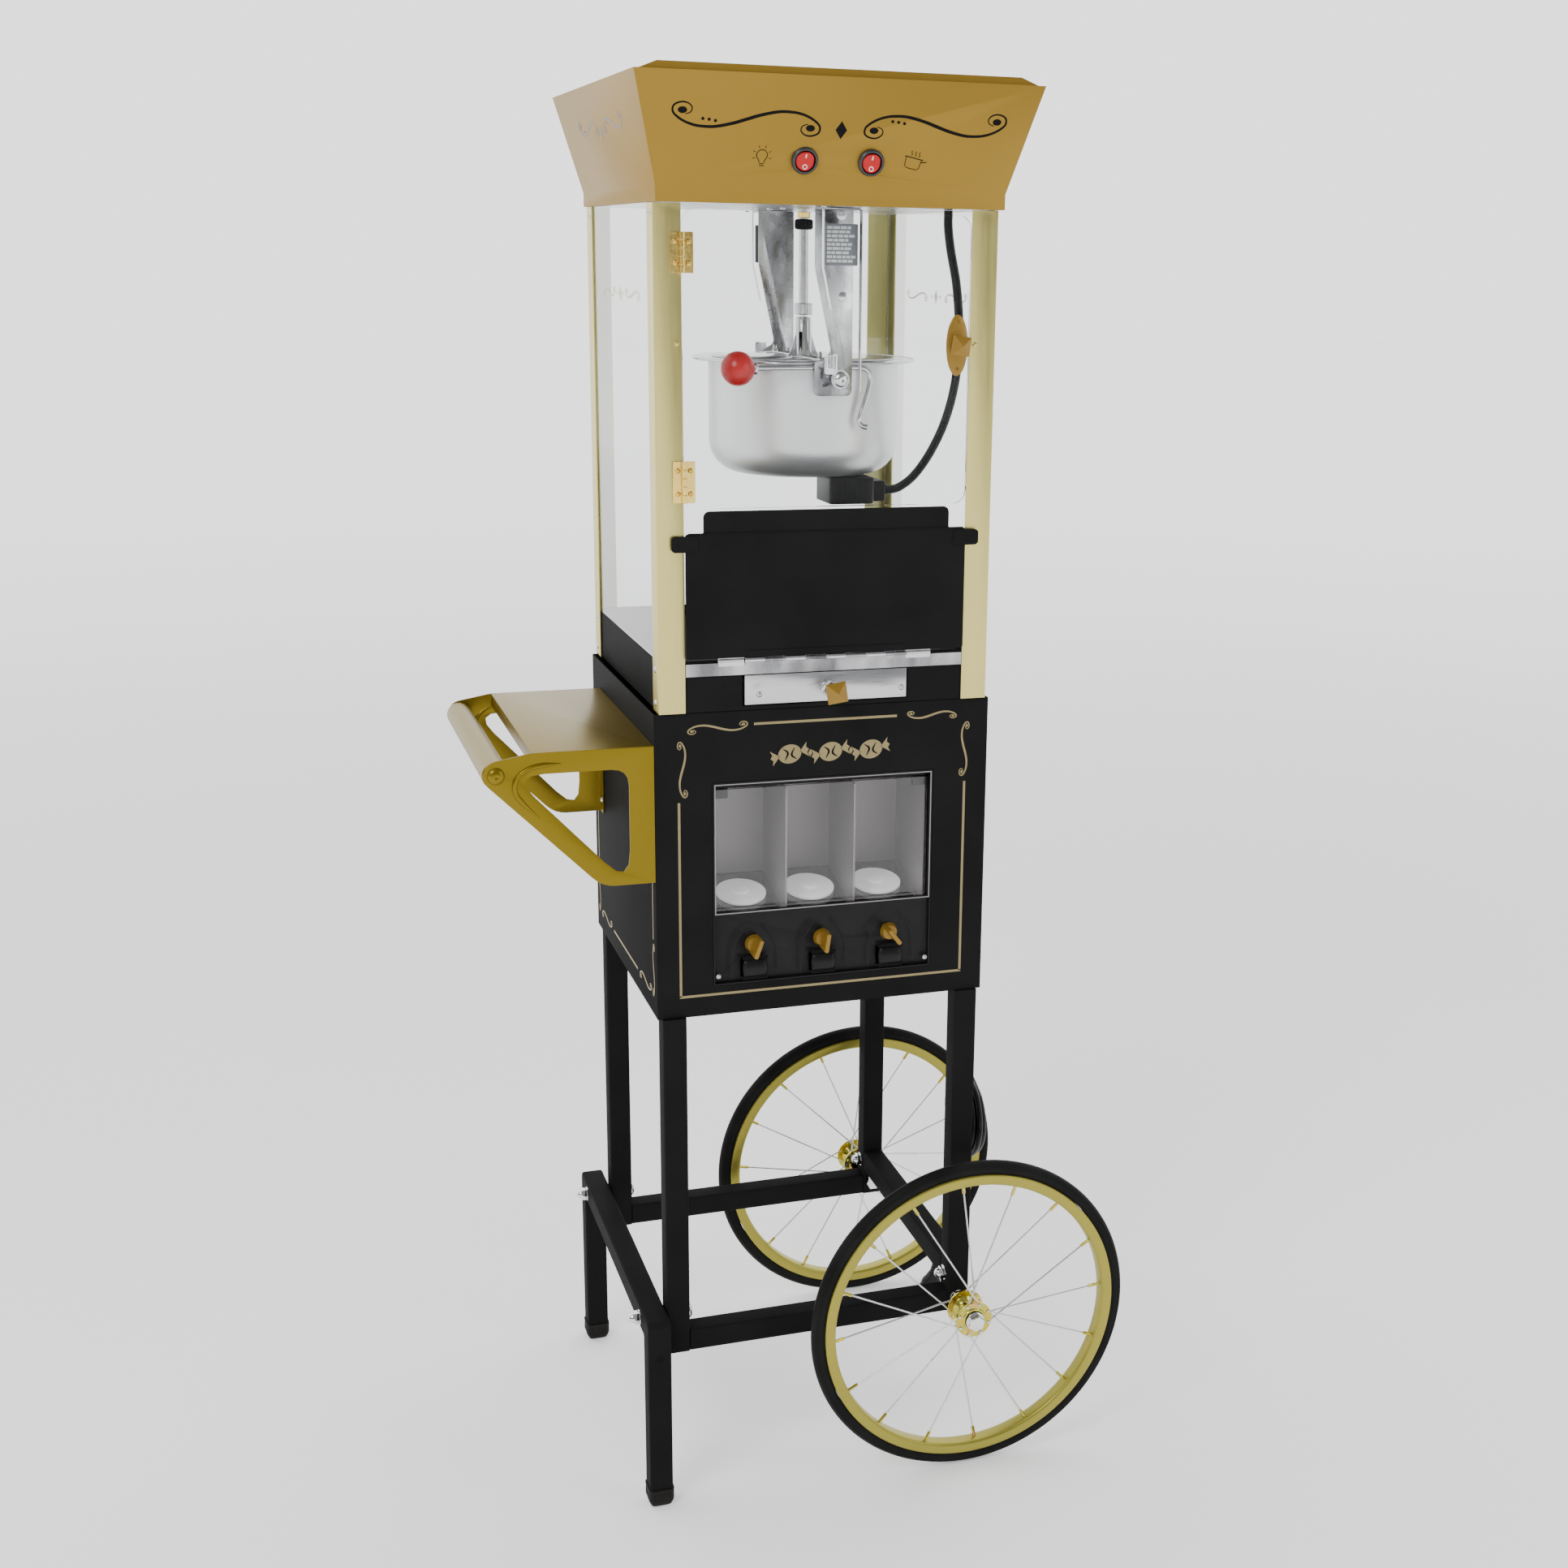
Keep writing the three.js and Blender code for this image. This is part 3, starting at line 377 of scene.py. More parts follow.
def smooth(points, steps=8):
    """Catmull-Rom line through points of any dimension."""
    rows = [Vector(point) for point in points]
    rows = [2 * rows[0] - rows[1]] + rows + [2 * rows[-1] - rows[-2]]
    line = []
    for i in range(1, len(rows) - 2):
        a, b, c, d = rows[i - 1:i + 3]
        for step in range(steps):
            t = step / steps
            line.append(0.5 * (2 * b + (c - a) * t + (2 * a - 5 * b + 4 * c - d) * t * t
                               + (3 * b - a - 3 * c + d) * t ** 3))
    return line + [rows[-2]]


def add_mesh(bm, points, faces, place=Matrix.Identity(4)):
    verts = [bm.verts.new(place @ Vector(point)) for point in points]
    for face in faces:
        bm.faces.new([verts[i] for i in face])


def add_box(bm, x0, x1, y0, y1, z0, z1, place=Matrix.Identity(4)):
    points = [(x, y, z) for z in (z0, z1) for y in (y0, y1) for x in (x0, x1)]
    faces = [(0, 2, 3, 1), (4, 5, 7, 6), (0, 1, 5, 4), (2, 6, 7, 3), (0, 4, 6, 2), (1, 3, 7, 5)]
    add_mesh(bm, points, faces, place)


def unit_circle(count, shift=0.0):
    """Cosines and sines of evenly spaced angles, starting shift steps round."""
    angles = [2 * math.pi * (i + shift) / count for i in range(count)]
    return [(math.cos(angle), math.sin(angle)) for angle in angles]


def ring_of(bm, points, place):
    return [bm.verts.new(place @ Vector(point)) for point in points]


def walls(bm, rings):
    """Joins rings in order; a ring of one point is a tip."""
    count = max(len(ring) for ring in rings)
    for low, high in zip(rings, rings[1:]):
        for i in range(count):
            j = (i + 1) % count
            quad = [low[i % len(low)], low[j % len(low)], high[j % len(high)], high[i % len(high)]]
            bm.faces.new(list(dict.fromkeys(quad)))


def skin(bm, rings):
    """Joins equal rings in order and closes the first and the last."""
    walls(bm, rings)
    bm.faces.new(rings[0][::-1])
    bm.faces.new(rings[-1])


def add_turned(bm, profile, place=Matrix.Identity(4), segments=48):
    """Turned solid about local z through (radius, height) points, lowest first; radius 0 closes it.
    Few segments give a polygon, such as 6 for a nut."""
    circle = unit_circle(segments)
    rings = []
    for radius, height in profile:
        around = circle if radius > 0 else [(0, 0)]
        rings.append(ring_of(bm, [(radius * c, radius * s, height) for c, s in around], place))
    walls(bm, rings)


def add_hoop(bm, section, place=Matrix.Identity(4), segments=96):
    """Closed ring about local z; the section is a closed loop of (radius, height), anticlockwise."""
    rings = [ring_of(bm, [(r * c, r * s, h) for r, h in section], place) for c, s in unit_circle(segments)]
    for i, ring in enumerate(rings):
        following = rings[(i + 1) % segments]
        for k in range(len(section)):
            m = (k + 1) % len(section)
            bm.faces.new([ring[k], following[k], following[m], ring[m]])


def add_tube(bm, line, radius, sides=14, flat=1.0):
    """Round bar along a line of points; flat squeezes its section across."""
    line = [Vector(point) for point in line]
    radii = radius if isinstance(radius, list) else [radius] * len(line)
    tangent = (line[1] - line[0]).normalized()
    normal = tangent.orthogonal().normalized()
    rings = []
    for i, point in enumerate(line):
        ahead = (line[min(i + 1, len(line) - 1)] - line[max(i - 1, 0)]).normalized()
        normal = tangent.rotation_difference(ahead) @ normal
        tangent = ahead
        other = tangent.cross(normal)
        offsets = [normal * c + other * s * flat for c, s in unit_circle(sides)]
        rings.append([bm.verts.new(point + offset * radii[i]) for offset in offsets])
    skin(bm, rings)


def add_plate(bm, outline, holes, thickness, edge, place):
    """Sheet whose outer face lies at local z 0, with holes and softened edges."""
    curve = bpy.data.curves.new("outline", "CURVE")
    curve.dimensions = "2D"
    curve.fill_mode = "BOTH"
    curve.extrude = thickness / 2 - edge
    curve.bevel_depth = edge
    curve.bevel_resolution = 2
    curve.offset = -edge
    for loop in [outline, *holes]:
        spline = curve.splines.new("POLY")
        spline.points.add(len(loop) - 1)
        for point, (x, y) in zip(spline.points, loop):
            point.co = (x, y, 0, 1)
        spline.use_cyclic_u = True
    holder = bpy.data.objects.new("outline", curve)
    mesh = holder.to_mesh()
    mesh.transform(place @ shifted(0, 0, -thickness / 2))
    bm.from_mesh(mesh)
    holder.to_mesh_clear()
    bpy.data.objects.remove(holder)
    bpy.data.curves.remove(curve)


def add_stroke(bm, points, place, height=0.15, steps=8):
    """Painted line on a flat side through (x, y, width) points, with tapering width."""
    line = smooth(points, steps) if steps > 1 else [Vector(point) for point in points]
    rows = []
    for i, point in enumerate(line):
        ahead = line[min(i + 1, len(line) - 1)] - line[max(i - 1, 0)]
        across = Vector((-ahead.y, ahead.x)).normalized() * point.z / 2
        rows.append([(point.x + s * across.x, point.y + s * across.y, h) for h in (0, height)
                     for s in (-1, 1)])
    verts = [[bm.verts.new(place @ Vector(p)) for p in row] for row in rows]
    for a, b in zip(verts, verts[1:]):
        for i, j in ((0, 1), (1, 3), (3, 2), (2, 0)):
            bm.faces.new([a[j], a[i], b[i], b[j]])
    bm.faces.new([verts[0][i] for i in (0, 1, 3, 2)])
    bm.faces.new([verts[-1][i] for i in (2, 3, 1, 0)])


def add_dot(bm, x, y, radius, place, height=0.15, squash=1.0, sides=20):
    points = [(x + radius * c, y + radius * squash * s) for c, s in unit_circle(sides)]
    add_prism(bm, points, 0, height, place)


def add_prism(bm, outline, low, high, place):
    count = len(outline)
    points = [(x, y, h) for h in (low, high) for x, y in outline]
    faces = [tuple(reversed(range(count))), tuple(range(count, 2 * count))]
    faces += [(i, (i + 1) % count, count + (i + 1) % count, count + i) for i in range(count)]
    add_mesh(bm, points, faces, place)


def add_screw(bm, place, radius):
    """Pan head with a cross recess, standing on local z 0."""
    height = radius * 0.55
    rings = []
    for share in (1.0, 0.97, 0.82, 0.62, 0.56, 0.36, 0.18):
        top = height * (1 - share ** 3) + height * 0.12 * (share < 1)
        points = []
        for c, s in unit_circle(32):
            off_axis = (math.degrees(math.atan2(s, c)) + 45) % 90 - 45
            in_cross = share < 0.6 and abs(off_axis) < 16
            points.append((radius * share * c, radius * share * s, top - height * 0.5 * in_cross))
        rings.append(ring_of(bm, points, place))
    skin(bm, rings)


def screws(name, places, radius, body="cart"):
    """One piece with a steel screw at each place."""
    bm = bmesh.new()
    for place in places:
        add_screw(bm, place, radius)
    shell_of(name, bm, STEEL, body=body)


def add_acorn_nut(bm, place, across=13, height=14):
    r = across / 2 / math.cos(math.pi / 6)
    add_turned(bm, [(0, 0), (r * 1.12, 0), (r * 1.12, 1.1), (0, 1.1)], place, 28)
    add_turned(bm, [(0, 1.1), (r * 0.94, 1.1), (r, 1.9), (r, height * 0.42), (r * 0.9, height * 0.5),
                    (0, height * 0.5)], place, 6)
    dome = [(across * 0.46 * math.cos(a), height * 0.45 + height * 0.55 * math.sin(a))
            for a in (0, 0.3, 0.6, 0.9, 1.2, 1.45)]
    add_turned(bm, [(0, height * 0.4), (across * 0.46, height * 0.4), *dome, (0, height)], place, 28)


def shell_of(name, bm, material, stands_for=(), body="cart", bevel=0.0, segments=2, sharp=35):
    """Turns a finished bmesh into a piece of the cart that rides on a body."""
    bmesh.ops.recalc_face_normals(bm, faces=bm.faces[:])
    mesh = bpy.data.meshes.new(name)
    bm.to_mesh(mesh)
    bm.free()
    mesh.transform(WORLD)
    mesh.materials.append(material)
    for polygon in mesh.polygons:
        polygon.use_smooth = True
    piece = bpy.data.objects.new(name, mesh)
    bpy.context.scene.collection.objects.link(piece)
    if bevel:
        soften = piece.modifiers.new("soft_edges", "BEVEL")
        soften.width = bevel * MM
        soften.segments = segments
        soften.limit_method = "ANGLE"
        soften.angle_limit = math.radians(sharp)
        soften.harden_normals = True
    else:
        mesh.set_sharp_from_angle(angle=math.radians(sharp))
    if body:
        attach(piece, body)
    if stands_for:
        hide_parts(*stands_for)
    return piece


def softened(node, material, bevel, segments=2, body="cart"):
    """A copy of a CAD node with its edges rounded, standing in for the node."""
    bm = bmesh.new()
    bm.from_mesh(NODES[node].data)
    bmesh.ops.remove_doubles(bm, verts=bm.verts[:], dist=1e-5)
    bmesh.ops.dissolve_limit(bm, angle_limit=math.radians(0.6), verts=bm.verts[:], edges=bm.edges[:])
    bmesh.ops.transform(bm, matrix=WORLD.inverted(), verts=bm.verts[:])
    return shell_of(node + "_shell", bm, material, [node], body, bevel=bevel, segments=segments)


def finish_node(node, material):
    """Gives a CAD node that stays in sight its material."""
    slots = NODES[node].data.materials
    slots.clear()
    slots.append(material)


def add_loft(bm, sections, place, segments=40, power=4):
    """Closed body of rounded-square sections (height, half width, half depth), lowest first."""
    rings = []
    for height, half_x, half_y in sections:
        points = []
        for c, s in unit_circle(segments, 0.5):
            reach = (abs(c) ** power + abs(s) ** power) ** (-1 / power)
            points.append((half_x * reach * c, half_y * reach * s, height))
        rings.append(ring_of(bm, points, place))
    skin(bm, rings)


# ---------- cords ----------
CORD_X, CORD_Y, CORD_TOP = 191, -60, 867.7
CORD_RADIUS = 3.5
COIL_CENTRE = Vector((191, -106, 378))
COIL_RADIUS = 39
COIL_LAY = 6.1
COIL_TURNS = 4.5
PLUG_PLACE = shifted(181.1, -14, 95.8) @ spun(15, "Y")


def mains_route():
    x, y = CORD_X, CORD_Y
    supply = [(x, y, CORD_TOP), (x, y, 820), (x + 0.5, y - 1, 740), (x + 0.5, y - 2, 650), (x, y - 3, 560),
              (x, y - 4, 490), (x, y - 6, 455), (x, y - 14, 433.5)]
    turns = []
    steps = round(COIL_TURNS * 16)
    for i in range(steps + 1):
        angle = 2 * math.pi * COIL_TURNS * i / steps
        lay = angle / 5
        reach = COIL_RADIUS + COIL_LAY * math.sin(lay)
        turn = Vector((COIL_LAY * math.cos(lay), -reach * math.sin(angle), reach * math.cos(angle)))
        turns.append(tuple(COIL_CENTRE + turn))
    tail = [(x, -86, 327.5), (x + 1, -66, 312), (x + 3, -47, 284), (x + 7, -31, 247), (x + 11, -20, 212),
            (x + 12.8, -15, 190), (x + 11.2, -14, 174.8), (x + 7.4, -14, 160.6)]
    return smooth(supply[:-1] + turns[1:] + tail, 6)


def mains_plug():
    bm = bmesh.new()
    body = [(0, 9.4, 5.6), (1.2, 10.6, 6.3), (14, 12.3, 6.5), (24, 12.3, 6.5), (27, 11.2, 6.4),
            (31, 8.2, 6.1), (36, 5.9, 5.7)]
    add_loft(bm, body, PLUG_PLACE, power=3.2)
    relief = [(35.6, 5.5, 5.5)]
    for i in range(7):
        z, r = 37 + i * 4, 5.5 - 0.12 * i
        relief += [(z, r, r), (z + 2.2, r, r), (z + 2.6, r - 0.7, r - 0.7), (z + 3.6, r - 0.7, r - 0.7)]
    add_loft(bm, relief + [(65.5, 4.6, 4.6), (66, 4.2, 4.2)], PLUG_PLACE, power=2)
    for side in (-1, 1):
        add_box(bm, side * 12.6 - 0.3, side * 12.6 + 0.3, -3.4, 3.4, 8, 20, PLUG_PLACE)
    plug = shell_of("plug_body", bm, JACKET, ["mains_plug"], sharp=40)
    bm = bmesh.new()
    for side in (-1, 1):
        add_box(bm, side * 6.35 - 0.75, side * 6.35 + 0.75, -3.2, 3.2, -17, 2, PLUG_PLACE)
    blades = shell_of("plug_blades", bm, BRASS, bevel=0.4)
    return plug, blades


def coil_tie():
    """A hook-and-loop strap round the coil at its rear side."""
    bm = bmesh.new()
    middle = COIL_CENTRE + Vector((0, COIL_RADIUS, 0))
    place = Matrix.Translation(middle)
    loop = [(r, h) for r, h in ((9.9, -5), (10.9, -5), (10.9, 5), (9.9, 5))]
    add_hoop(bm, loop, place, 40)
    add_box(bm, 9.6, 13.2, -2, 7, -4.6, 4.6, place @ spun(-25, "Z"))
    return shell_of("coil_tie", bm, BOOT, bevel=0.4)


def cord_relief():
    bm = bmesh.new()
    side = box_of("machine_base")[1].x + GAP
    flange = facing("right", side, CORD_Y, CORD_TOP + 40.3)
    add_turned(bm, [(0, 0), (8, 0), (8.2, 1), (8, 3.4), (6.8, 4), (0, 4)], flange, 32)
    line = smooth([(side, CORD_Y, 908), (side + 6, CORD_Y, 908), (CORD_X - 3.4, CORD_Y, 905.6),
                   (CORD_X, CORD_Y, 899), (CORD_X, CORD_Y, 884), (CORD_X, CORD_Y, CORD_TOP + GAP)], 12)
    radii = []
    for i in range(len(line)):
        share = i / (len(line) - 1)
        groove = 0.8 if share > 0.35 and i % 4 == 3 else 0
        radii.append(6.4 - 1.8 * share - groove)
    add_tube(bm, line, radii, 24)
    shell_of("relief_sleeve", bm, JACKET, ["cord_relief"], sharp=50)


def mains_cord():
    line = mains_route()
    bm = bmesh.new()
    add_tube(bm, line, CORD_RADIUS, 16)
    cord = shell_of("mains_flex", bm, JACKET, ["mains_cord", "mains_coil", "mains_tail"], sharp=60)
    plug, blades = mains_plug()
    tie = coil_tie()
    cord_relief()


def kettle_lead():
    """The heater's lead, down from the ceiling and round to the plug under the kettle."""
    route = [(143, -112, CEILING_Z - GAP), (143, -112, 1362), (146, -112, 1340), (154, -112, 1300),
             (158.5, -110, 1250),
             (157.5, -103, 1205), (152, -90, 1165), (142, -74, 1131), (129, -61, 1106), (116, -52, 1093),
             (106, -50, 1090), (98.3, -50, 1090)]
    line = smooth(route, 8)
    bm = bmesh.new()
    add_tube(bm, line, 4.6, 18)
    lead = shell_of("heater_lead", bm, JACKET, ["kettle_lead"], body=None, sharp=60)
    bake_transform(lead)


# ---------- stand ----------
TUBE_CORNER = 2.6


def square_bar(node, axis):
    """A square tube of the stand, with its rolled corners and closed ends."""
    low, high = box_of(node)
    middle = (low + high) / 2
    size = high - low
    half = min(size) / 2
    section = filleted(panel(-half, half, -half, half, TUBE_CORNER), 5)
    turn = {"x": facing("right"), "y": facing("back"), "z": facing("top")}[axis]
    length = {"x": size.x, "y": size.y, "z": size.z}[axis]
    bm = bmesh.new()
    add_prism(bm, section, -length / 2, length / 2, Matrix.Translation(middle) @ turn)
    shell_of(node + "_bar", bm, BLACK, [node])


def foot_frame():
    low, high = box_of("foot_frame")
    y, inner = high.y, high.y - 25.4
    beam = high.z - 25.4
    outline = [(-y, low.z, 0), (-inner, low.z, 0), (-inner, beam, 2), (inner, beam, 2), (inner, low.z, 0),
               (y, low.z, 0), (y, high.z, 7), (-y, high.z, 7)]
    bm = bmesh.new()
    add_plate(bm, filleted(outline), [], high.x - low.x, TUBE_CORNER, facing("right", high.x))
    shell_of("foot_tube", bm, BLACK, ["foot_frame"], sharp=40)
    bm = bmesh.new()
    place = facing("front", -189.3, -y, 180.7)
    add_hoop(bm, [(3.7, -3), (4.3, 0.05), (4.9, 0.1), (4.2, -3)], place, 28)
    shell_of("foot_hole_lip", bm, BLACK)
    # Painted shade: a black disc inside the lip stands in for the dark of the hole.
    bm = bmesh.new()
    add_turned(bm, [(0, 0.02), (3.9, 0.02), (3.9, 0.12), (0, 0.12)], place, 28)
    shell_of("foot_hole", bm, INK_AND_SHADE)


def foot_boots():
    for end in ("front", "back"):
        low, high = box_of("foot_cap_" + end)
        middle = (low + high) / 2
        half = (high.x - low.x) / 2
        bm = bmesh.new()
        place = shifted(middle.x, middle.y, low.z)
        top = high.z - low.z
        profile = [(0, half - 4.2), (1.2, half - 3), (5, half - 1.2), (8, half - 0.4),
                   (top - 5, half - 0.6),
                   (top - 2.4, half - 0.1), (top - 0.4, half), (top, half - 0.5)]
        add_loft(bm, [(z, r, r) for z, r in profile], place, 64, 7)
        for side in range(4):
            for across in (-8, -4, 0, 4, 8):
                rib = place @ Matrix.Rotation(side * math.pi / 2, 4, "Z") @ shifted(half - 1.1, across, 0)
                add_box(bm, 0, 0.9, -0.7, 0.7, 7, top - 5, rib)
        shell_of("foot_boot_" + end, bm, BOOT, ["foot_cap_" + end], sharp=35)


def stand_bolts():
    bm = bmesh.new()
    outer = box_of("foot_frame")[0].x
    inner = box_of("leg_front_left")[1].x
    right = box_of("leg_front_right")[0].x
    for y in (-158.3, 158.3):
        add_acorn_nut(bm, facing("left", outer, y, 211), 13, 14)
        dome = [(0, 0), (8.6, 0), (8.4, 1.4), (6.8, 3.4), (4, 4.6), (0, 5)]
        add_turned(bm, dome, facing("right", inner, y, 211), 28)
        add_acorn_nut(bm, facing("left", right, y, 211), 13, 12)
    shell_of("stand_bolts", bm, CHROME, sharp=30)


def stand():
    for side in ("left", "right"):
        for end in ("front", "back"):
            square_bar(f"leg_{end}_{side}", "z")
    square_bar("rail_front", "x")
    square_bar("rail_back", "x")
    square_bar("rail_right", "y")
    foot_frame()
    foot_boots()
    stand_bolts()


# ---------- wheels ----------
SPOKES = 16
RIM_INNER = 158.5
RIM_OUTER = 171
HUB_FLANGE = 21
HUB_HALF = 14.5


def wheel(end):
    low, high = box_of(end + "_tyre")
    centre = (low + high) / 2
    radius = (high.z - low.z) / 2
    place = facing(end, *centre)
    body = end + "_wheel_set"
    tyre(end, body, place, radius)
    rim(end, body, place)
    spokes(end, body, place)
    hub(end, body, place)
    axle(end, place)


def tyre(end, body, place, radius):
    bm = bmesh.new()
    arc = [math.pi * i / 16 for i in range(17)]
    crown = [(176.2 + (radius - 176.2) * math.sin(a), 8 * math.cos(a)) for a in arc]
    bead = [(173.5, -7.2), (171.4, -6.4), (171.4, 6.4), (173.5, 7.2)]
    add_hoop(bm, crown + bead, place, 160)
    shell_of(end + "_tyre_ring", bm, RUBBER, [end + "_tyre"], body=body, sharp=40)
    bm = bmesh.new()
    for side in (-1, 1):
        r, h = 180.2, side * 7.35
        add_hoop(bm, [(r - 0.35, h - 0.25), (r + 0.35, h - 0.25), (r + 0.35, h + 0.25),
                      (r - 0.35, h + 0.25)], place, 160)
    shell_of(end + "_tyre_moulding", bm, RUBBER, body=body, sharp=40)


def rim(end, body, place):
    section = [(RIM_OUTER, -8.2), (RIM_OUTER, 8.2), (RIM_OUTER - 0.6, 8.9), (RIM_OUTER - 1.6, 9.1),
               (RIM_INNER + 3, 9.0), (RIM_INNER + 1.2, 8.2), (RIM_INNER + 0.4, 6.8), (RIM_INNER, 3.5),
               (RIM_INNER, -3.5), (RIM_INNER + 0.4, -6.8), (RIM_INNER + 1.2, -8.2), (RIM_INNER + 3, -9.0),
               (RIM_OUTER - 1.6, -9.1), (RIM_OUTER - 0.6, -8.9)]
    bm = bmesh.new()
    add_hoop(bm, section, place, 160)
    joint = place @ spun(-8, "Z")
    add_box(bm, RIM_INNER - 0.12, RIM_INNER + 1, -0.35, 0.35, -6.5, 6.5, joint)
    shell_of(end + "_rim", bm, RIM_GOLD, [end + "_wheel"], body=body, sharp=50)


def spokes(end, body, place):
    wires, nipples = bmesh.new(), bmesh.new()
    for i in range(SPOKES):
        flange = 1 if i % 2 else -1
        lead = 45 if (i // 2) % 2 else -45
        rim_angle = math.radians(i * 360 / SPOKES + 4)
        hub_angle = rim_angle + math.radians(lead)
        height = flange * HUB_HALF
        start = Vector((18 * math.cos(hub_angle), 18 * math.sin(hub_angle), height))
        finish = Vector(((RIM_INNER + 1) * math.cos(rim_angle), (RIM_INNER + 1) * math.sin(rim_angle),
                         flange * 2.2))
        add_tube(wires, [place @ start, place @ finish], 0.95, 10)
        along = (finish - start).normalized()
        foot = finish - along * 13
        add_tube(nipples, [place @ (foot + along * t) for t in (0, 0.8, 11.4, 13)], [1.3, 1.9, 1.9, 2.6],
                 12)
        head = place @ Matrix.Translation(start + Vector((0, 0, flange * 1.2)))
        add_turned(wires, [(0, -1.6), (1.9, -1.6), (1.9, 0.9), (1.3, 1.5), (0, 1.6)], head, 14)
    shell_of(end + "_spokes", wires, STEEL, body=body, sharp=40)
    shell_of(end + "_nipples", nipples, ZINC, body=body, sharp=40)


def hub(end, body, place):
    bm = bmesh.new()
    for flange in (-1, 1):
        turn = place @ (Matrix.Identity(4) if flange > 0 else Matrix.Rotation(math.pi, 4, "X"))
        outline = [(HUB_FLANGE * c, HUB_FLANGE * s) for c, s in unit_circle(60)]
        holes = []
        for x, y in unit_circle(8, 22 / 45):
            holes.append([(18 * x + 1.1 * c, 18 * y + 1.1 * s) for c, s in unit_circle(8)])
        add_plate(bm, outline, holes, 2.4, 0.4, turn @ shifted(0, 0, HUB_HALF + 1.4))
        cup = [(0, HUB_HALF - 1), (14.2, HUB_HALF - 1), (14.2, HUB_HALF + 1.2), (13.2, HUB_HALF + 2.2),
               (11.4, HUB_HALF + 2.4), (11.0, HUB_HALF + 1.4), (0, HUB_HALF + 1.4)]
        add_turned(bm, cup, turn, 40)
        bell = [(8.4, 3), (8.8, HUB_HALF - 6), (10.4, HUB_HALF - 3.6), (13.6, HUB_HALF - 1.8),
                (14.6, HUB_HALF - 0.6), (0, HUB_HALF - 0.6)]
        add_turned(bm, bell, turn, 40)
    shell_of(end + "_hub_flanges", bm, ZINC, body=body, sharp=35)
    bm = bmesh.new()
    add_turned(bm, [(0, 5 - HUB_HALF), (8.2, 5 - HUB_HALF), (7.6, 0), (8.2, HUB_HALF - 5),
                    (0, HUB_HALF - 5)], place, 32)
    shell_of(end + "_hub_barrel", bm, COPPER, body=body, sharp=35)


def axle(end, place):
    """The axle bolt with its washers, dark dust cap and bright outer nut."""
    outer = HUB_HALF + 2.4
    low, high = box_of(f"leg_{end}_right")
    leg_face = low.y if end == "front" else high.y
    reach = abs(place.translation.y - leg_face)
    leg = place @ shifted(0, 0, -reach)
    bm = bmesh.new()
    add_turned(bm, [(0, -reach - 30), (5, -reach - 30), (5, outer + 9), (0, outer + 9)], place, 24)
    add_turned(bm, [(0, 1), (9, 1), (9, 3), (0, 3)], leg, 32)
    add_turned(bm, [(0, 3), (9.4, 3), (9.8, 4), (9.8, 9), (9.2, 10), (0, 10)], leg, 6)
    add_turned(bm, [(0, -34.5), (9.2, -34.5), (9.6, -33.5), (9.6, -27), (0, -27)], leg, 6)
    nut = place @ shifted(0, 0, outer + 1.2) @ Matrix.Rotation(0.3, 4, "Z")
    add_turned(bm, [(0, 0), (10.6, 0), (10.8, 0.6), (10.6, 1.4), (0, 1.4)], nut, 36)
    add_turned(bm, [(0, 1.4), (9.2, 1.4), (9.8, 2.2), (9.8, 7.4), (8.8, 8.6), (7.4, 9.0), (0, 9.0)], nut, 6)
    shell_of(end + "_axle_bolt", bm, CHROME, [end + "_axle"], bevel=0.25, segments=1)
    bm = bmesh.new()
    add_turned(bm, [(0, outer - 2), (11.2, outer - 2), (11.4, outer - 0.4), (10.8, outer + 0.6),
                    (0, outer + 1.0)], place, 36)
    shell_of(end + "_dust_cap", bm, INK_AND_SHADE, body=end + "_wheel_set")


# ---------- painted scrolls ----------
SCROLL = [(0, 0), (12.4, 4), (27.2, 7.4), (37.1, 8.2), (49.5, 7.2), (60.6, 3.5), (68.8, -2), (71, -6.4),
          (69.3, -10.9),
          (62.8, -13.4), (56.4, -12.4), (52.7, -8.7), (53.9, -4.5), (58.9, -2.5)]
SCROLL_REACH = 71


def add_scroll(bm, place, half_length, width=3.2, rise=1.0, height=0.12):
    """S-shaped flourish with a curled, eyed end on both sides, along local x."""
    size = half_length / SCROLL_REACH
    for turn in (1, -1):
        points = []
        for i, (x, y) in enumerate(SCROLL):
            taper = width * (1 - 0.75 * i / (len(SCROLL) - 1))
            points.append((turn * x * size, turn * y * size * rise, taper))
        add_stroke(bm, points, place, height, 6)
        add_dot(bm, turn * 61.6 * size, turn * -6.2 * size * rise, 4.4 * size, place, height, 0.7)


def add_diamond(bm, x, y, half_x, half_y, place, height=0.12):
    add_prism(bm, [(x - half_x, y), (x, y - half_y), (x + half_x, y), (x, y + half_y)], 0, height, place)


# ---------- cabinet ----------
STRIPE = 2.6


def cabinet():
    softened("cabinet_shell", BLACK, 1.2)
    pinstripes()
    wrapped_candies()
    side_pinstripes("left", CABINET[0].x)
    side_pinstripes("right", CABINET[1].x)
    back_screws()


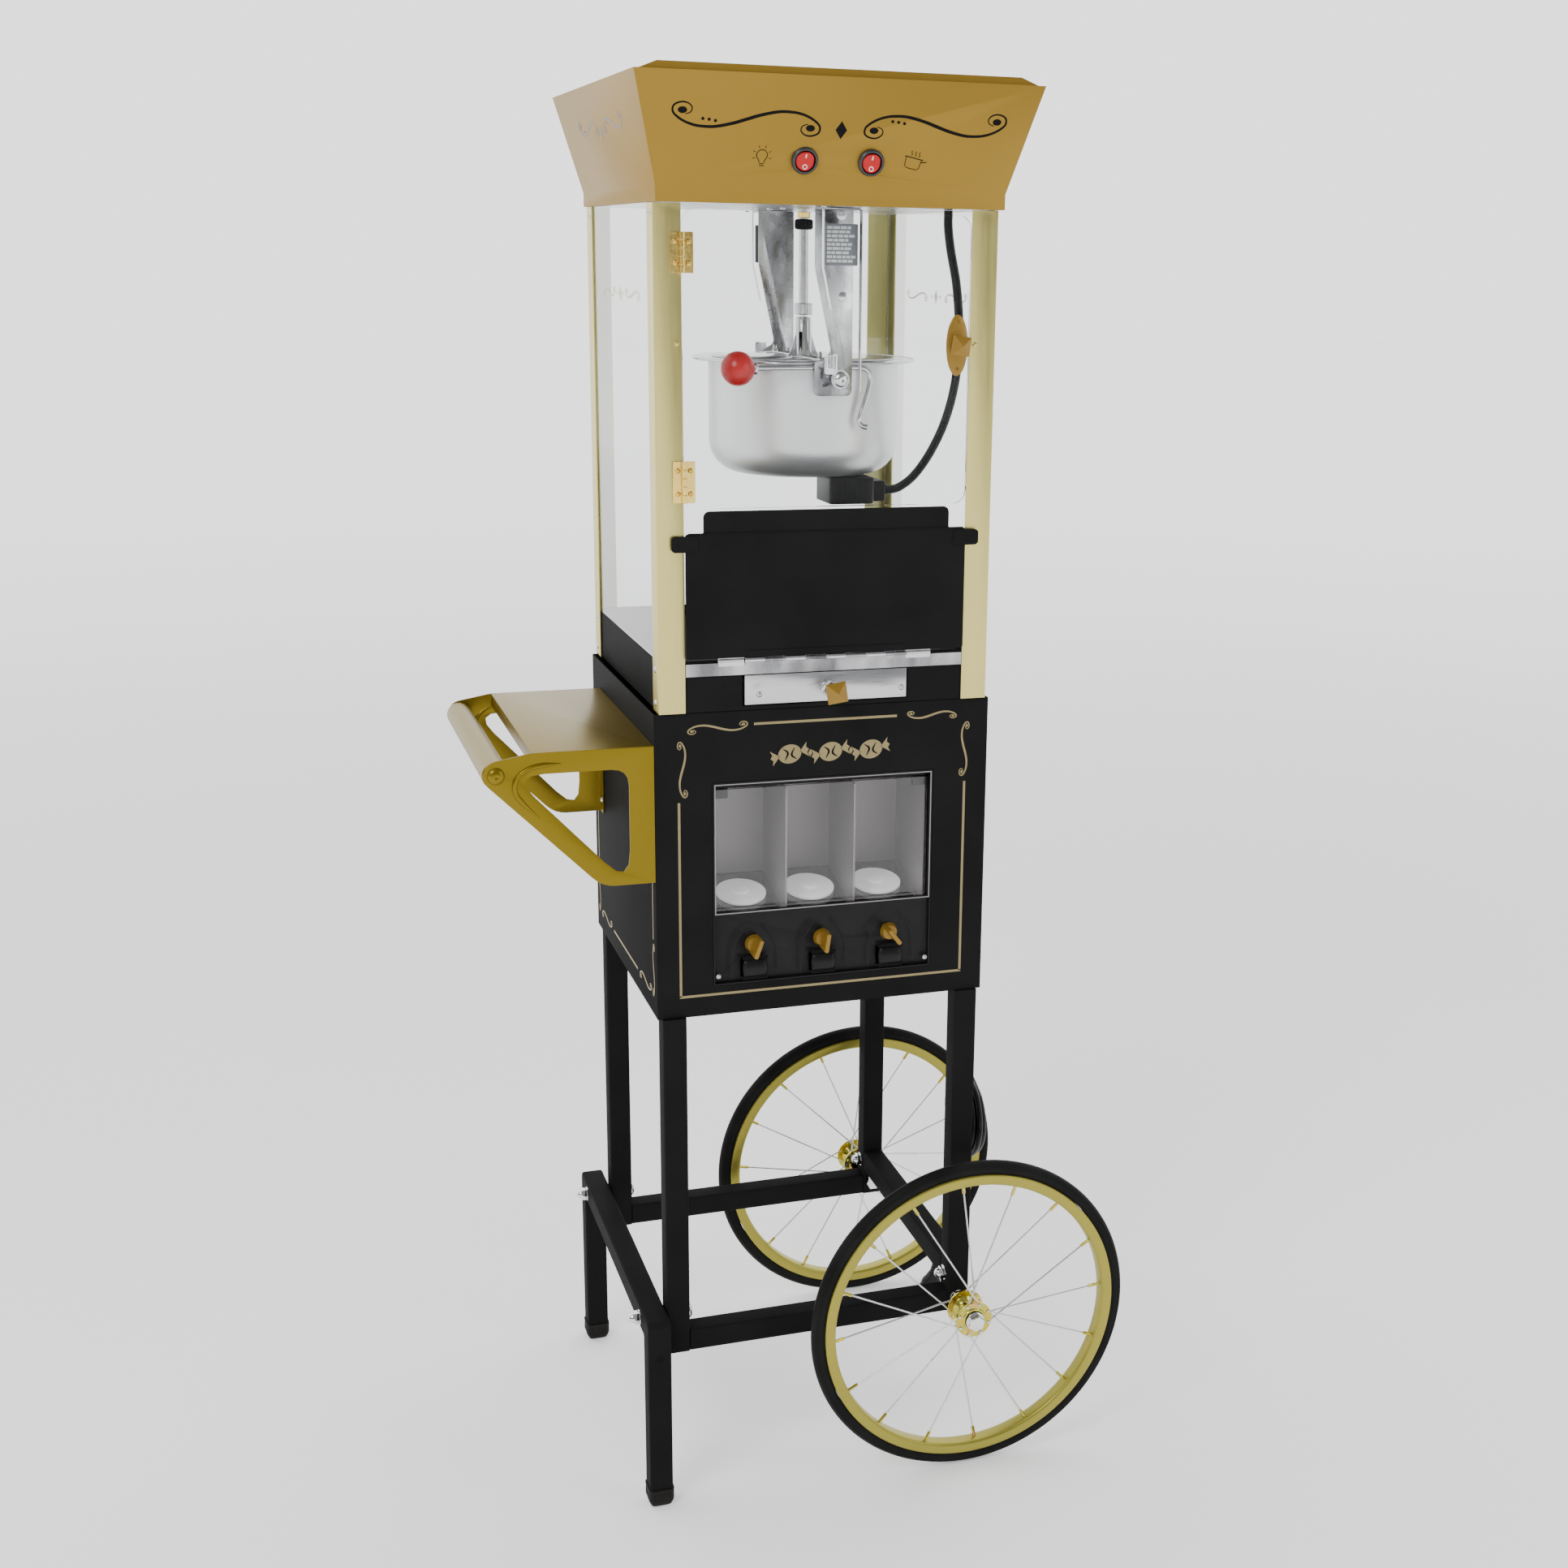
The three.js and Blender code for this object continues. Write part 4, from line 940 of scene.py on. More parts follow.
def pinstripes():
    """The long frame line and corner flourishes on the cabinet's front."""
    bm = bmesh.new()
    face = facing("front", 0, FACE_Y, 0)
    foot, shoulder, crown = 579, 789.5, 868
    add_stroke(bm, [(-155, shoulder, STRIPE), (-155, foot, STRIPE)], face, steps=1)
    add_stroke(bm, [(155, foot, STRIPE), (155, shoulder + 3, STRIPE)], face, steps=1)
    add_stroke(bm, [(-156.3, foot, STRIPE), (156.3, foot, STRIPE)], face, steps=1)
    add_stroke(bm, [(-76, crown, STRIPE), (78, crown, STRIPE)], face, steps=1)
    for side, middle in ((-1, (-151, 824)), (1, (154, 828))):
        upright = facing("front", middle[0], FACE_Y, middle[1], 90)
        add_scroll(bm, upright, 29, 2.3, side * 0.9, 0.15)
    add_scroll(bm, facing("front", -114, FACE_Y, 866), 31, 2.3, -0.9, 0.15)
    add_scroll(bm, facing("front", 117, FACE_Y, 867), 27, 2.3, 0.9, 0.15)
    shell_of("front_pinstripes", bm, STRIPE_GOLD)


CANDY_X = (-38, 6, 50)


def wrapped_candies():
    """Own ornament above the window: three wrapped candies between small diamonds."""
    bm, twists = bmesh.new(), bmesh.new()
    for x in CANDY_X:
        place = facing("front", x, FACE_Y, 834, 12)
        add_dot(bm, 0, 0, 12.5, place, 0.15, 0.8, 32)
        for side in (-1, 1):
            fan = [(11, 0), (20, 8), (18.4, 3), (21, 0), (18.4, -3), (20, -8)]
            add_prism(bm, [(side * px, py) for px, py in fan], 0, 0.15, place)
            swirl = [(side * 6, side * -7, 0.6), (side * 1.8, side * -1.4, 2.2),
                     (side * 6.4, side * 5.6, 0.6)]
            add_stroke(twists, swirl, place @ shifted(0, 0, 0.12), 0.1, 6)
    for x in (-16, 28):
        add_diamond(bm, x, 834, 2.2, 4, facing("front", 0, FACE_Y, 0), 0.15)
    shell_of("candy_ornament", bm, STRIPE_GOLD)
    shell_of("candy_twists", twists, INK_AND_SHADE)


def side_pinstripes(side, x):
    """Line and flourishes along the foot of a side wall, and lines beside its upright edges."""
    bm = bmesh.new()
    sign = 1 if side == "right" else -1
    face = facing(side, x, 0, 0)
    edge, foot = FACE_Y + 17, 579
    add_stroke(bm, [(sign * (edge + 84), foot, STRIPE), (-sign * (edge + 84), foot, STRIPE)], face, steps=1)
    for end in (1, -1):
        upright = sign * end * edge
        add_stroke(bm, [(upright, 640, STRIPE), (upright, 838, STRIPE)], face, steps=1)
        add_scroll(bm, facing(side, x, end * edge, 606, 90), 29, 2.8, 0.9, 0.15)
        add_scroll(bm, facing(side, x, end * (edge + 42), foot + 1), 30, 2.8, sign * 0.9, 0.15)
    shell_of(side + "_pinstripes", bm, STRIPE_GOLD)


def back_screws():
    """Screws that hold the removable back wall, and its louvres."""
    places = [facing("back", x, CABINET[1].y, z) for z in (572, 720, 868) for x in (-166, 166)]
    screws("back_wall_screws", places, 3.6)
    bm = bmesh.new()
    for row in range(6):
        for side in (-1, 1):
            louver = facing("back", side * 60, CABINET[1].y, 690 + row * 18)
            add_tube(bm, [louver @ Vector((x, 0, 0)) for x in (-42, -40, 40, 42)], [1.2, 3, 3, 1.2], 14,
                     0.7)
    shell_of("back_louvers", bm, BLACK)


# ---------- candy dispenser ----------
FASCIA = box_of("dispenser_fascia")
CHUTE_X = [(box_of(f"candy_knob_{i}")[0].x + box_of(f"candy_knob_{i}")[1].x) / 2 for i in (1, 2, 3)]
KNOB_Z = (box_of("candy_knob_2")[0].z + box_of("candy_knob_2")[1].z) / 2
KNOB_LEAN = {1: 20, 2: 8, 3: -38}


def dispenser():
    fascia()
    for number, x in zip((1, 2, 3), CHUTE_X):
        chute(number, x)
        candy_knob(number, x)
    hopper()


def fascia():
    softened("dispenser_fascia", PLASTIC, 0.9)
    front = FASCIA[0].y
    bm = bmesh.new()
    for x in CHUTE_X:
        for sign in (-1, 1):
            place = facing("front", x + sign * 25, front + 0.1, 0)
            add_stroke(bm, [(0, 596, 1.2), (0, 610, 1.2), (-sign * 3, 632, 1.2), (-sign * 14, 650, 1.2)],
                       place, 0.4)
    shell_of("fascia_mouldings", bm, PLASTIC)
    screws("fascia_screws", [facing("front", x, front, 598) for x in (-114.5, 114.5)], 3)
    # Painted highlight: a pale grey strip round the window stands in for the light line along its edge.
    bm = bmesh.new()
    rim_line = panel_points(-118, 118, 666, 806)
    opening = panel_points(-116.9, 116.9, 667.1, 804.9)
    add_plate(bm, rim_line, [opening], 1.2, 0.2, facing("front", 0, front - 0.5, 0))
    shell_of("window_edge_highlight", bm, LINING_AND_HIGHLIGHT)


def chute(number, x):
    """Bulged flap over the chute, and black patches that paint the shade inside the slots above and below it.
    """
    front = FASCIA[0].y
    bm = bmesh.new()
    slot = facing("front", x, front + 0.2, 0)
    # Painted shade: flat black patches stand in for the dark inside the two slots.
    add_prism(bm, filleted(panel(-14, 14, 613.5, 617.5, 1.5)), 0, 0.5, slot)
    add_prism(bm, filleted(panel(-13.5, 13.5, 591.5, 595, 1.5)), 0, 0.5, slot)
    shell_of(f"chute_slots_{number}", bm, INK_AND_SHADE)
    bm = bmesh.new()
    rows = []
    for i in range(13):
        z = 595 + i * 1.5
        swell = math.sin(math.pi * i / 12)
        half = 13.6 - 1.4 * (1 - swell)
        row = []
        for k in range(17):
            u = -1 + k / 8
            out = 4.6 * math.sqrt(max(0, swell)) * math.sqrt(max(0, 1 - u ** 4)) + 0.1
            row.append(bm.verts.new(slot @ Vector((half * u, z, out))))
        rows.append(row)
    for a, b in zip(rows, rows[1:]):
        for k in range(16):
            bm.faces.new([a[k], a[k + 1], b[k + 1], b[k]])
    rim_verts = rows[0] + [row[-1] for row in rows[1:]] + rows[-1][-2::-1] + [row[0] for row in rows[-2:0:-1]]
    bm.faces.new(rim_verts)
    shell_of(f"chute_flap_{number}", bm, PLASTIC)


def candy_knob(number, x):
    """Round hub with two wings, leaning as it was last turned."""
    low, high = box_of(f"candy_knob_{number}")
    place = facing("front", x, high.y - 2, KNOB_Z, -KNOB_LEAN[number])
    deep = high.y - low.y - 2
    bm = bmesh.new()
    hub = [(0, -0.8), (9.8, -0.8), (10.3, 0), (10.3, deep * 0.5), (9.6, deep * 0.62), (7.6, deep * 0.7),
           (0, deep * 0.72)]
    add_turned(bm, hub, place, 48)
    blade = [(-2.2, -17.2, 2), (2.2, -17.2, 2), (4.4, -12.5, 1.6), (3.2, -8, 2), (3.2, 8, 2),
             (4.4, 12.5, 1.6),
             (2.2, 17.2, 2), (-2.2, 17.2, 2), (-4.4, 12.5, 1.6), (-3.2, 8, 2), (-3.2, -8, 2), (-4.4, -12.5,
                                                                                               1.6)]
    add_plate(bm, filleted(blade, 4), [], deep * 0.55, 1, place @ shifted(0, 0, deep * 0.6))
    ridge = [(-2.4, -10.5, 2), (2.4, -10.5, 2), (2.4, 10.5, 2), (-2.4, 10.5, 2)]
    add_plate(bm, filleted(ridge, 4), [], deep * 0.6, 1.1, place @ shifted(0, 0, deep))
    shell_of(f"knob_wings_{number}", bm, AMBER, [f"candy_knob_{number}"], body=f"knob_{number}")


def hopper():
    """Three clear bins with grey backs and dividers behind the fascia's window; the white auger discs in them
    carry a painted glow.
    """
    low, high = box_of("candy_hopper")
    sheet = 2.2
    bm = bmesh.new()
    add_box(bm, low.x + 0.5, high.x - 0.5, high.y - sheet, high.y - 0.3, low.z + 3, high.z - 3)
    for x in (-37.5, 37.5):
        add_box(bm, x - 1.1, x + 1.1, low.y + 6, high.y - sheet - 0.1, low.z + 3, high.z - 8)
    for x in (low.x + 1.6, high.x - 1.6):
        add_box(bm, x - 1.1, x + 1.1, low.y + 6, high.y - sheet - 0.1, low.z + 3, high.z - 5)
    shell_of("hopper_walls", bm, LINING_AND_HIGHLIGHT, ["candy_hopper"], bevel=0.3, segments=1)
    bm = bmesh.new()
    add_box(bm, low.x + 0.4, high.x - 0.4, low.y + 0.4, low.y + 2.6, low.z + 1, high.z - 4)
    shell_of("hopper_front", bm, SMOKED, bevel=0.4)
    bm = bmesh.new()
    points = []
    for y, z in ((low.y + 3, low.z + 3), (high.y - 3, low.z + 24)):
        points += [(low.x + 3, y, z), (high.x - 3, y, z), (high.x - 3, y, z + 2.4), (low.x + 3, y, z + 2.4)]
    add_mesh(bm, points,
             [(0, 1, 2, 3), (7, 6, 5, 4), (0, 4, 5, 1), (3, 2, 6, 7), (1, 5, 6, 2), (0, 3, 7, 4)])
    shell_of("hopper_floor", bm, SMOKED)
    tilt = math.degrees(math.atan2(21, high.y - low.y - 6))
    bm = bmesh.new()
    for x in (-76, 0, 76):
        disc = shifted(x, (low.y + high.y) / 2, low.z + 17) @ spun(tilt, "X")
        add_turned(bm, [(0, 0), (26, 0), (27, 0.8), (27, 3), (25.4, 3.8), (9, 3.8), (8, 6.5), (5, 7.5),
                        (0, 7.8)], disc, 56)
    # The auger discs glow with painted light of their own, not from a lamp.
    shell_of("candy_augers", bm, PAINTED_GLOW_WHITE)
    bm = bmesh.new()
    add_box(bm, low.x + 1, high.x - 1, low.y + 3.5, high.y - 3, high.z - 3.4, high.z - 0.4)
    for x in (low.x + 9, high.x - 9):
        add_box(bm, x - 7, x + 7, low.y + 3.6, low.y + 9, high.z - 14, high.z - 3.5)
    shell_of("hopper_lid", bm, PLASTIC, bevel=0.5)


# ---------- shelf and push handle ----------
def shelf():
    softened("side_shelf", SHELF_GOLD, 1.4, 3)
    low, high = box_of("side_shelf")
    bead_line = [(-274, 838.6), (-290, 838.2), (-303, 836), (-313, 830.9), (-319.5, 823), (-320, 812),
                 (-313, 800.5), (-296.6, 783.6)]
    bm = bmesh.new()
    for y in (low.y, high.y):
        line = smooth([(x, y, z) for x, z in bead_line], 8)
        radii = [0.5 + 2.0 * min(1, i / 8, (len(line) - 1 - i) / 8) for i in range(len(line))]
        add_tube(bm, line, radii, 14)
    shell_of("bracket_beads", bm, SHELF_GOLD)
    bm = bmesh.new()
    for y, side in ((low.y, "front"), (high.y, "back")):
        dome = [(0, -1), (8.6, -1), (8.6, 0.6), (7.6, 2.2), (5.4, 3.5), (2.6, 4.0), (1.6, 3.5), (0, 3.1)]
        add_turned(bm, dome, facing(side, -338.5, y, 829.5), 36)
    shell_of("handle_end_caps", bm, SHELF_GOLD)
    places = [facing("left", SIDE_X - 1.6, y, z) for y in (low.y + 8.6, high.y - 8.6)
              for z in (722, 776, 832)]
    screws("shelf_screws", places, 3.4)


def push_handle():
    low, high = box_of("push_handle")
    middle = (low + high) / 2
    radius = (high.z - low.z) / 2
    length = high.y - low.y
    bm = bmesh.new()
    profile = [(0, 0), (radius - 1.2, 0), (radius, 1.2), (radius, length - 1.2), (radius - 1.2, length),
               (0, length)]
    add_turned(bm, profile, facing("front", middle.x, high.y, middle.z), 56)
    shell_of("handle_bar", bm, SHELF_GOLD, ["push_handle"])


# ---------- machine base, posts and glass ----------
def machine_base():
    softened("machine_base", BLACK, 1.4)
    for end in ("front", "back"):
        for side in ("left", "right"):
            softened(f"post_{end}_{side}", PALE_GOLD, 0.5)
    places = []
    for side, x in (("left", POST[0].x), ("right", -POST[0].x)):
        places += [facing(side, x, y, z) for y in (-157, 157) for z in (893, 927, 1368)]
    screws("post_screws", places, 3.3)
    bm = bmesh.new()
    pin = [(0, -0.5), (2.6, -0.5), (2.6, 0.8), (1.9, 2), (0, 2.4)]
    for x in (153, -153):
        add_turned(bm, pin, facing("front", x, POST[0].y, 1247), 24)
    shell_of("door_stop_pins", bm, PALE_GOLD)


def glass_panes():
    for side in ("left", "right", "back"):
        finish_node("glass_" + side, GLASS)
    bm = bmesh.new()
    for x, side in ((box_of("glass_left")[0].x, "left"), (box_of("glass_right")[1].x, "right")):
        add_scroll(bm, facing(side, x, -62, 1290), 34, 2.4, 0.8, 0.08)
        add_scroll(bm, facing(side, x, 62, 1290), 34, 2.4, -0.8, 0.08)
        add_diamond(bm, 0, 1290, 5, 8, facing(side, x, 0, 0), 0.08)
        for offset in (-13, 13):
            add_dot(bm, offset, 1290, 2, facing(side, x, 0, 0), 0.08)
    shell_of("glass_ornament", bm, FROSTED)


# ---------- canopy and switches ----------
SWITCH_X = 33
SWITCH_Z = 1418
KEY_RADIUS = 9.1
FLARE_FOOT, FLARE_HEAD = Vector((186.5, 1392.2)), Vector((220.8, 1492.6))
SIDE_FOOT, SIDE_HEAD = Vector((175.3, 1392.2)), Vector((201, 1492.6))


def on_flare(side, along, z, spin=0):
    """A place on the canopy's sloping wall at a height, facing out along its slope."""
    foot, head = (FLARE_FOOT, FLARE_HEAD) if side in ("front", "back") else (SIDE_FOOT, SIDE_HEAD)
    reach = foot.x + (head.x - foot.x) * (z - foot.y) / (head.y - foot.y) + 0.05
    lean = math.atan2(head.x - foot.x, head.y - foot.y)
    place = {"front": (along, -reach, z), "back": (-along, reach, z), "left": (-reach, -along, z),
             "right": (reach, along, z)}[side]
    return facing(side, *place) @ Matrix.Rotation(lean, 4, "X") @ spun(spin, "Z")


def canopy():
    softened("canopy", CANOPY_GOLD, 1.3)
    for side in ("front", "back"):
        canopy_scrolls(side, INK_AND_SHADE, 1)
    for side in ("left", "right"):
        canopy_scrolls(side, GREY_INK, 0.68)
    for side, x in (("left", -SWITCH_X), ("right", SWITCH_X)):
        rocker(side, x)
    icons()
    screws("canopy_screws", [facing("back", x, CANOPY[1].y - 34.4, 1384.5) for x in (-150, -50, 50, 150)],
           3.4)


def canopy_scrolls(side, ink, size):
    bm = bmesh.new()
    gap = 92 * size
    add_scroll(bm, on_flare(side, -gap, 1452.5), SCROLL_REACH * size, 3.2 * size, 1)
    add_scroll(bm, on_flare(side, gap + 2, 1452.5), SCROLL_REACH * size, 3.2 * size, -1)
    for sign in (-1, 1):
        place = on_flare(side, sign * gap, 1452.5)
        rise = 3 if sign > 0 else -1
        for x, y in ((42, rise), (36, rise - 0.5), (30, rise - 1.5)):
            add_dot(bm, -x * size, y * size, 1.5 * size, place, 0.12)
    add_diamond(bm, 0, 0, 5.7 * size, 8.4 * size, on_flare(side, 0, 1446))
    shell_of(side + "_flourish", bm, ink)


def rocker(side, x):
    """Round rocker switch: grey bezel and a red key with its on and off marks."""
    place = on_flare("front", x, SWITCH_Z)
    bm = bmesh.new()
    add_hoop(bm, [(10.1, -1), (12.9, -1), (12.9, 1.6), (12.2, 2.8), (11.2, 3.4), (10.3, 3.2)], place, 64)
    shell_of(f"bezel_{side}", bm, DARK_GREY)
    body = f"switch_{side}"
    bm = bmesh.new()
    circle = unit_circle(56)
    rings = [ring_of(bm, [(8.4 * c, 8.4 * s, -1.6) for c, s in circle], place)]
    for share, drop in ((1, 0.7), (0.93, 0), (0.7, 0), (0.35, 0)):
        points = []
        for c, s in circle:
            valley = 1.9 + 2.2 * abs(s * share) ** 1.4 + 0.7 * s * share
            points.append((KEY_RADIUS * share * c, KEY_RADIUS * share * s, valley - drop))
        rings.append(ring_of(bm, points, place))
    rings.append(ring_of(bm, [(0, 0, 1.9)], place))
    walls(bm, rings)
    bm.faces.new(rings[0][::-1])
    shell_of(f"key_{side}", bm, RED_KEY, [f"rocker_{side}"], body=body, sharp=50)
    bm = bmesh.new()
    lean = math.degrees(math.atan2(2.4, KEY_RADIUS))
    upper = place @ shifted(0, 5.3, 3.75) @ spun(lean + 9, "X")
    add_box(bm, -0.55, 0.55, -2.2, 2.2, -0.2, 0.22, upper)
    lower = place @ shifted(0, -5.3, 2.55) @ Matrix.Rotation(-math.radians(lean - 2), 4, "X")
    add_hoop(bm, [(1.6, -0.4), (2.4, -0.4), (2.4, 0.2), (1.6, 0.2)], lower, 32)
    shell_of(f"marks_{side}", bm, WHITE, body=body)


def icons():
    """A lamp beside one switch and a tilted pot beside the other."""
    bm = bmesh.new()
    lamp = on_flare("front", -75, 1419.5)
    bulb = [(5.2 * math.cos(math.radians(a)), 2 + 5.2 * math.sin(math.radians(a)), 0.7)
            for a in range(-50, 231, 20)]
    add_stroke(bm, [(2.2, -5, 0.7), *bulb, (-2.2, -5, 0.7)], lamp, 0.12, 2)
    for y in (-6, -7.8):
        add_stroke(bm, [(-2.4, y, 0.7), (2.4, y, 0.7)], lamp, 0.12, 1)
    for angle in range(-20, 201, 44):
        c, s = math.cos(math.radians(angle)), math.sin(math.radians(angle))
        add_stroke(bm, [(7.2 * c, 2 + 7.2 * s, 0.6), (9.6 * c, 2 + 9.6 * s, 0.6)], lamp, 0.12, 1)
    pot = on_flare("front", 75, 1419.5, -12)
    outline = [(-8, 4, 0.7), (-7.4, -4.6, 0.7), (-5, -6.2, 0.7), (5, -6.2, 0.7), (7.4, -4.6, 0.7),
               (8, 4, 0.7)]
    add_stroke(bm, outline, pot, 0.12, 1)
    add_stroke(bm, [(-9.6, 4.2, 0.9), (9.6, 4.2, 0.9)], pot, 0.12, 1)
    add_stroke(bm, [(8, 1.5, 0.9), (13.5, 3.4, 0.9)], pot, 0.12, 1)
    for x in (-4, 0, 4):
        add_stroke(bm, [(x, 6, 0.6), (x + 1.2, 7.6, 0.6), (x - 0.4, 9.2, 0.6), (x + 0.8, 10.8, 0.6)], pot,
                   0.12, 4)
    shell_of("switch_icons", bm, INK_AND_SHADE)


# ---------- door ----------
DOOR = box_of("front_door")


def door():
    door_sheet()
    hinge_leaves("door_hinge_upper")
    hinge_leaves("door_hinge_lower")
    door_knob()


def door_sheet():
    """Acrylic sheet with polished, softened edges."""
    low, high = DOOR
    outline = filleted(panel(low.x, high.x, low.z, high.z, 14), 10)
    bm = bmesh.new()
    add_prism(bm, outline, low.y - high.y, 0, facing("front", 0, low.y, 0))
    shell_of("door_sheet", bm, ACRYLIC, ["front_door"], body="door", bevel=0.5, sharp=60)


def hinge_leaves(node):
    """Brass hinge: two leaves with screws and a knuckled barrel."""
    low, high = box_of(node)
    pin_x, pin_y, knuckles = -147.35, -174.4, 5
    step = (high.z - low.z) / knuckles
    barrel = [(0, 0.15), (2.5, 0.15), (2.8, 0.5), (2.8, step - 0.5), (2.5, step - 0.15), (0, step - 0.15)]
    fixed = ("fixed_leaf", "cart", (-158.5, pin_x - 1.2), POST[0].y - 1.6, -153.4, [node])
    swinging = ("door_leaf", "door", (pin_x + 1.2, -136), DOOR[0].y - 1.35, -140.8, [])
    for first, (name, body, ends, leaf_y, screw_x, nodes) in enumerate((fixed, swinging)):
        bm = bmesh.new()
        add_plate(bm, filleted(panel(*ends, low.z, high.z, 1.2), 3), [], 1.3, 0.25,
                  facing("front", 0, leaf_y, 0))
        for i in range(first, knuckles, 2):
            add_turned(bm, barrel, shifted(pin_x, pin_y, low.z + i * step), 28)
        for z in (low.z + 9, high.z - 9):
            add_screw(bm, facing("front", screw_x, leaf_y, z), 2.7)
        shell_of(f"{node}_{name}", bm, BRASS, nodes, body=body)


def faceted_knob(bm, place, deep, across):
    """Tapered stem carrying a square pull whose front rises to a sharp point."""
    neck = [(0, 1.6), (7, 1.6), (5, deep * 0.3), (4.4, deep * 0.5), (0, deep * 0.5)]
    add_turned(bm, neck, place, 32)
    half = across / 2
    profile = [(0, deep * 0.46), (half * 0.5, deep * 0.46), (half, deep * 0.62), (half, deep * 0.7),
               (0, deep)]
    add_turned(bm, [(r * math.sqrt(2), h) for r, h in profile], place @ spun(45, "Z"), 4)


def door_knob():
    low, high = box_of("door_knob")
    middle = (low + high) / 2
    place = facing("front", middle.x, high.y, middle.z)
    bm = bmesh.new()
    rings = []
    for share, height in ((1, 0), (1, 0.8), (0.95, 1.5), (0.8, 2.1), (0.5, 2.6), (0.02, 2.7)):
        points = [(11.5 * share * c, 30 * share * s, height) for c, s in unit_circle(48)]
        rings.append(ring_of(bm, points, place))
    skin(bm, rings)
    for z in (-23, 23):
        add_screw(bm, place @ shifted(0, z, 1.3), 2.6)
    faceted_knob(bm, place @ spun(-8, "Z"), high.y - low.y, 19)
    add_turned(bm, [(0, -0.4), (2.6, -0.4), (2.6, 2.6), (1.8, 4), (0, 4.4)], place @ shifted(8, 0, 1), 20)
    shell_of("door_pull", bm, AMBER, ["door_knob"], body="door", sharp=25)


# ---------- serving hatch and tray ----------
HATCH_HALF, FLANGE_HALF, HATCH_FOLD, HATCH_TOP = 147, 128.5, 1064, 1086


def hatch():
    """Drop-front flap: panel, narrower top flange behind a fold, two hook tabs and its hinge."""
    low = box_of("serving_hatch")[0]
    face = facing("front", 0, low.y, 0)
    panel_corners = [(-HATCH_HALF, low.z, 2), (HATCH_HALF, low.z, 2), (HATCH_HALF, HATCH_FOLD, 3),
                     (FLANGE_HALF, HATCH_FOLD, 2), (FLANGE_HALF, HATCH_TOP, 6), (-FLANGE_HALF, HATCH_TOP,
                                                                                 6),
                     (-FLANGE_HALF, HATCH_FOLD, 2), (-HATCH_HALF, HATCH_FOLD, 3)]
    bm = bmesh.new()
    add_plate(bm, filleted(panel_corners, 5), [], 1.5, 0.3, face)
    for side in (-1, 1):
        tab = panel(*sorted((side * 134, side * 161)), 1046, 1062, 4)
        add_plate(bm, filleted(tab, 5), [], 1.4, 0.3, face @ shifted(0, 0, 0.9))
    add_tube(bm, [(-HATCH_HALF + 3, low.y - 0.1, HATCH_FOLD), (HATCH_HALF - 3, low.y - 0.1, HATCH_FOLD)],
             0.8, 12)
    add_box(bm, -84, 84, low.y - 0.6, low.y + 2, low.z, low.z + 7)
    shell_of("hatch_flap", bm, BLACK, ["serving_hatch"], body="hatch", sharp=40)
    hatch_hinge()


def hatch_hinge():
    finish_node("hatch_hinge", SMEARED)
    pin_y, pin_z, span, count = -172.2, 935.6, 171, 8
    bm = bmesh.new()
    length = span / count
    knuckle = [(0, 0.3), (2.6, 0.3), (2.9, 0.7), (2.9, length - 0.7), (2.6, length - 0.3),
               (0, length - 0.3)]
    for i in range(0, count, 2):
        add_turned(bm, knuckle, facing("right", -87 + length * i, pin_y, pin_z), 24)
    for x in (-101, 98):
        add_plate(bm, filleted(panel(x - 13.5, x + 13.5, 930, 942, 1.5), 3), [], 1.4, 0.3,
                  facing("front", 0, -173.4, 0))
        add_tube(bm, [(x - 13, -173.2, 936), (x + 13, -173.2, 936)], 2, 14)
    shell_of("hatch_hinge_knuckles", bm, STEEL)


def tray():
    low = box_of("crumb_tray")[0]
    softened("crumb_tray", SATIN_STEEL, 0.6, body="tray")
    screws("tray_screws", [facing("front", x, low.y + 0.02, 902.6) for x in (-75.5, 75.5)], 3, "tray")
    bm = bmesh.new()
    faceted_knob(bm, facing("front", 2, low.y - 1.6, 903, 8), 19, 21)
    shell_of("tray_knob", bm, AMBER, body="tray", sharp=25)


# ---------- ceiling, motor and shaft ----------
def ceiling():
    finish_node("ceiling_plate", SMEARED)
    low, high = box_of("gear_motor")
    softened("gear_motor", PLASTIC, 1.5)
    spots = [(x, y) for x in (low.x + 6, high.x - 6) for y in (low.y + 6, high.y - 6)]
    spots += [(x, y) for x in (-165, 0, 165) for y in (-150, 150)]
    screws("ceiling_screws", [facing("bottom", x, y, CEILING_Z) for x, y in spots], 3)


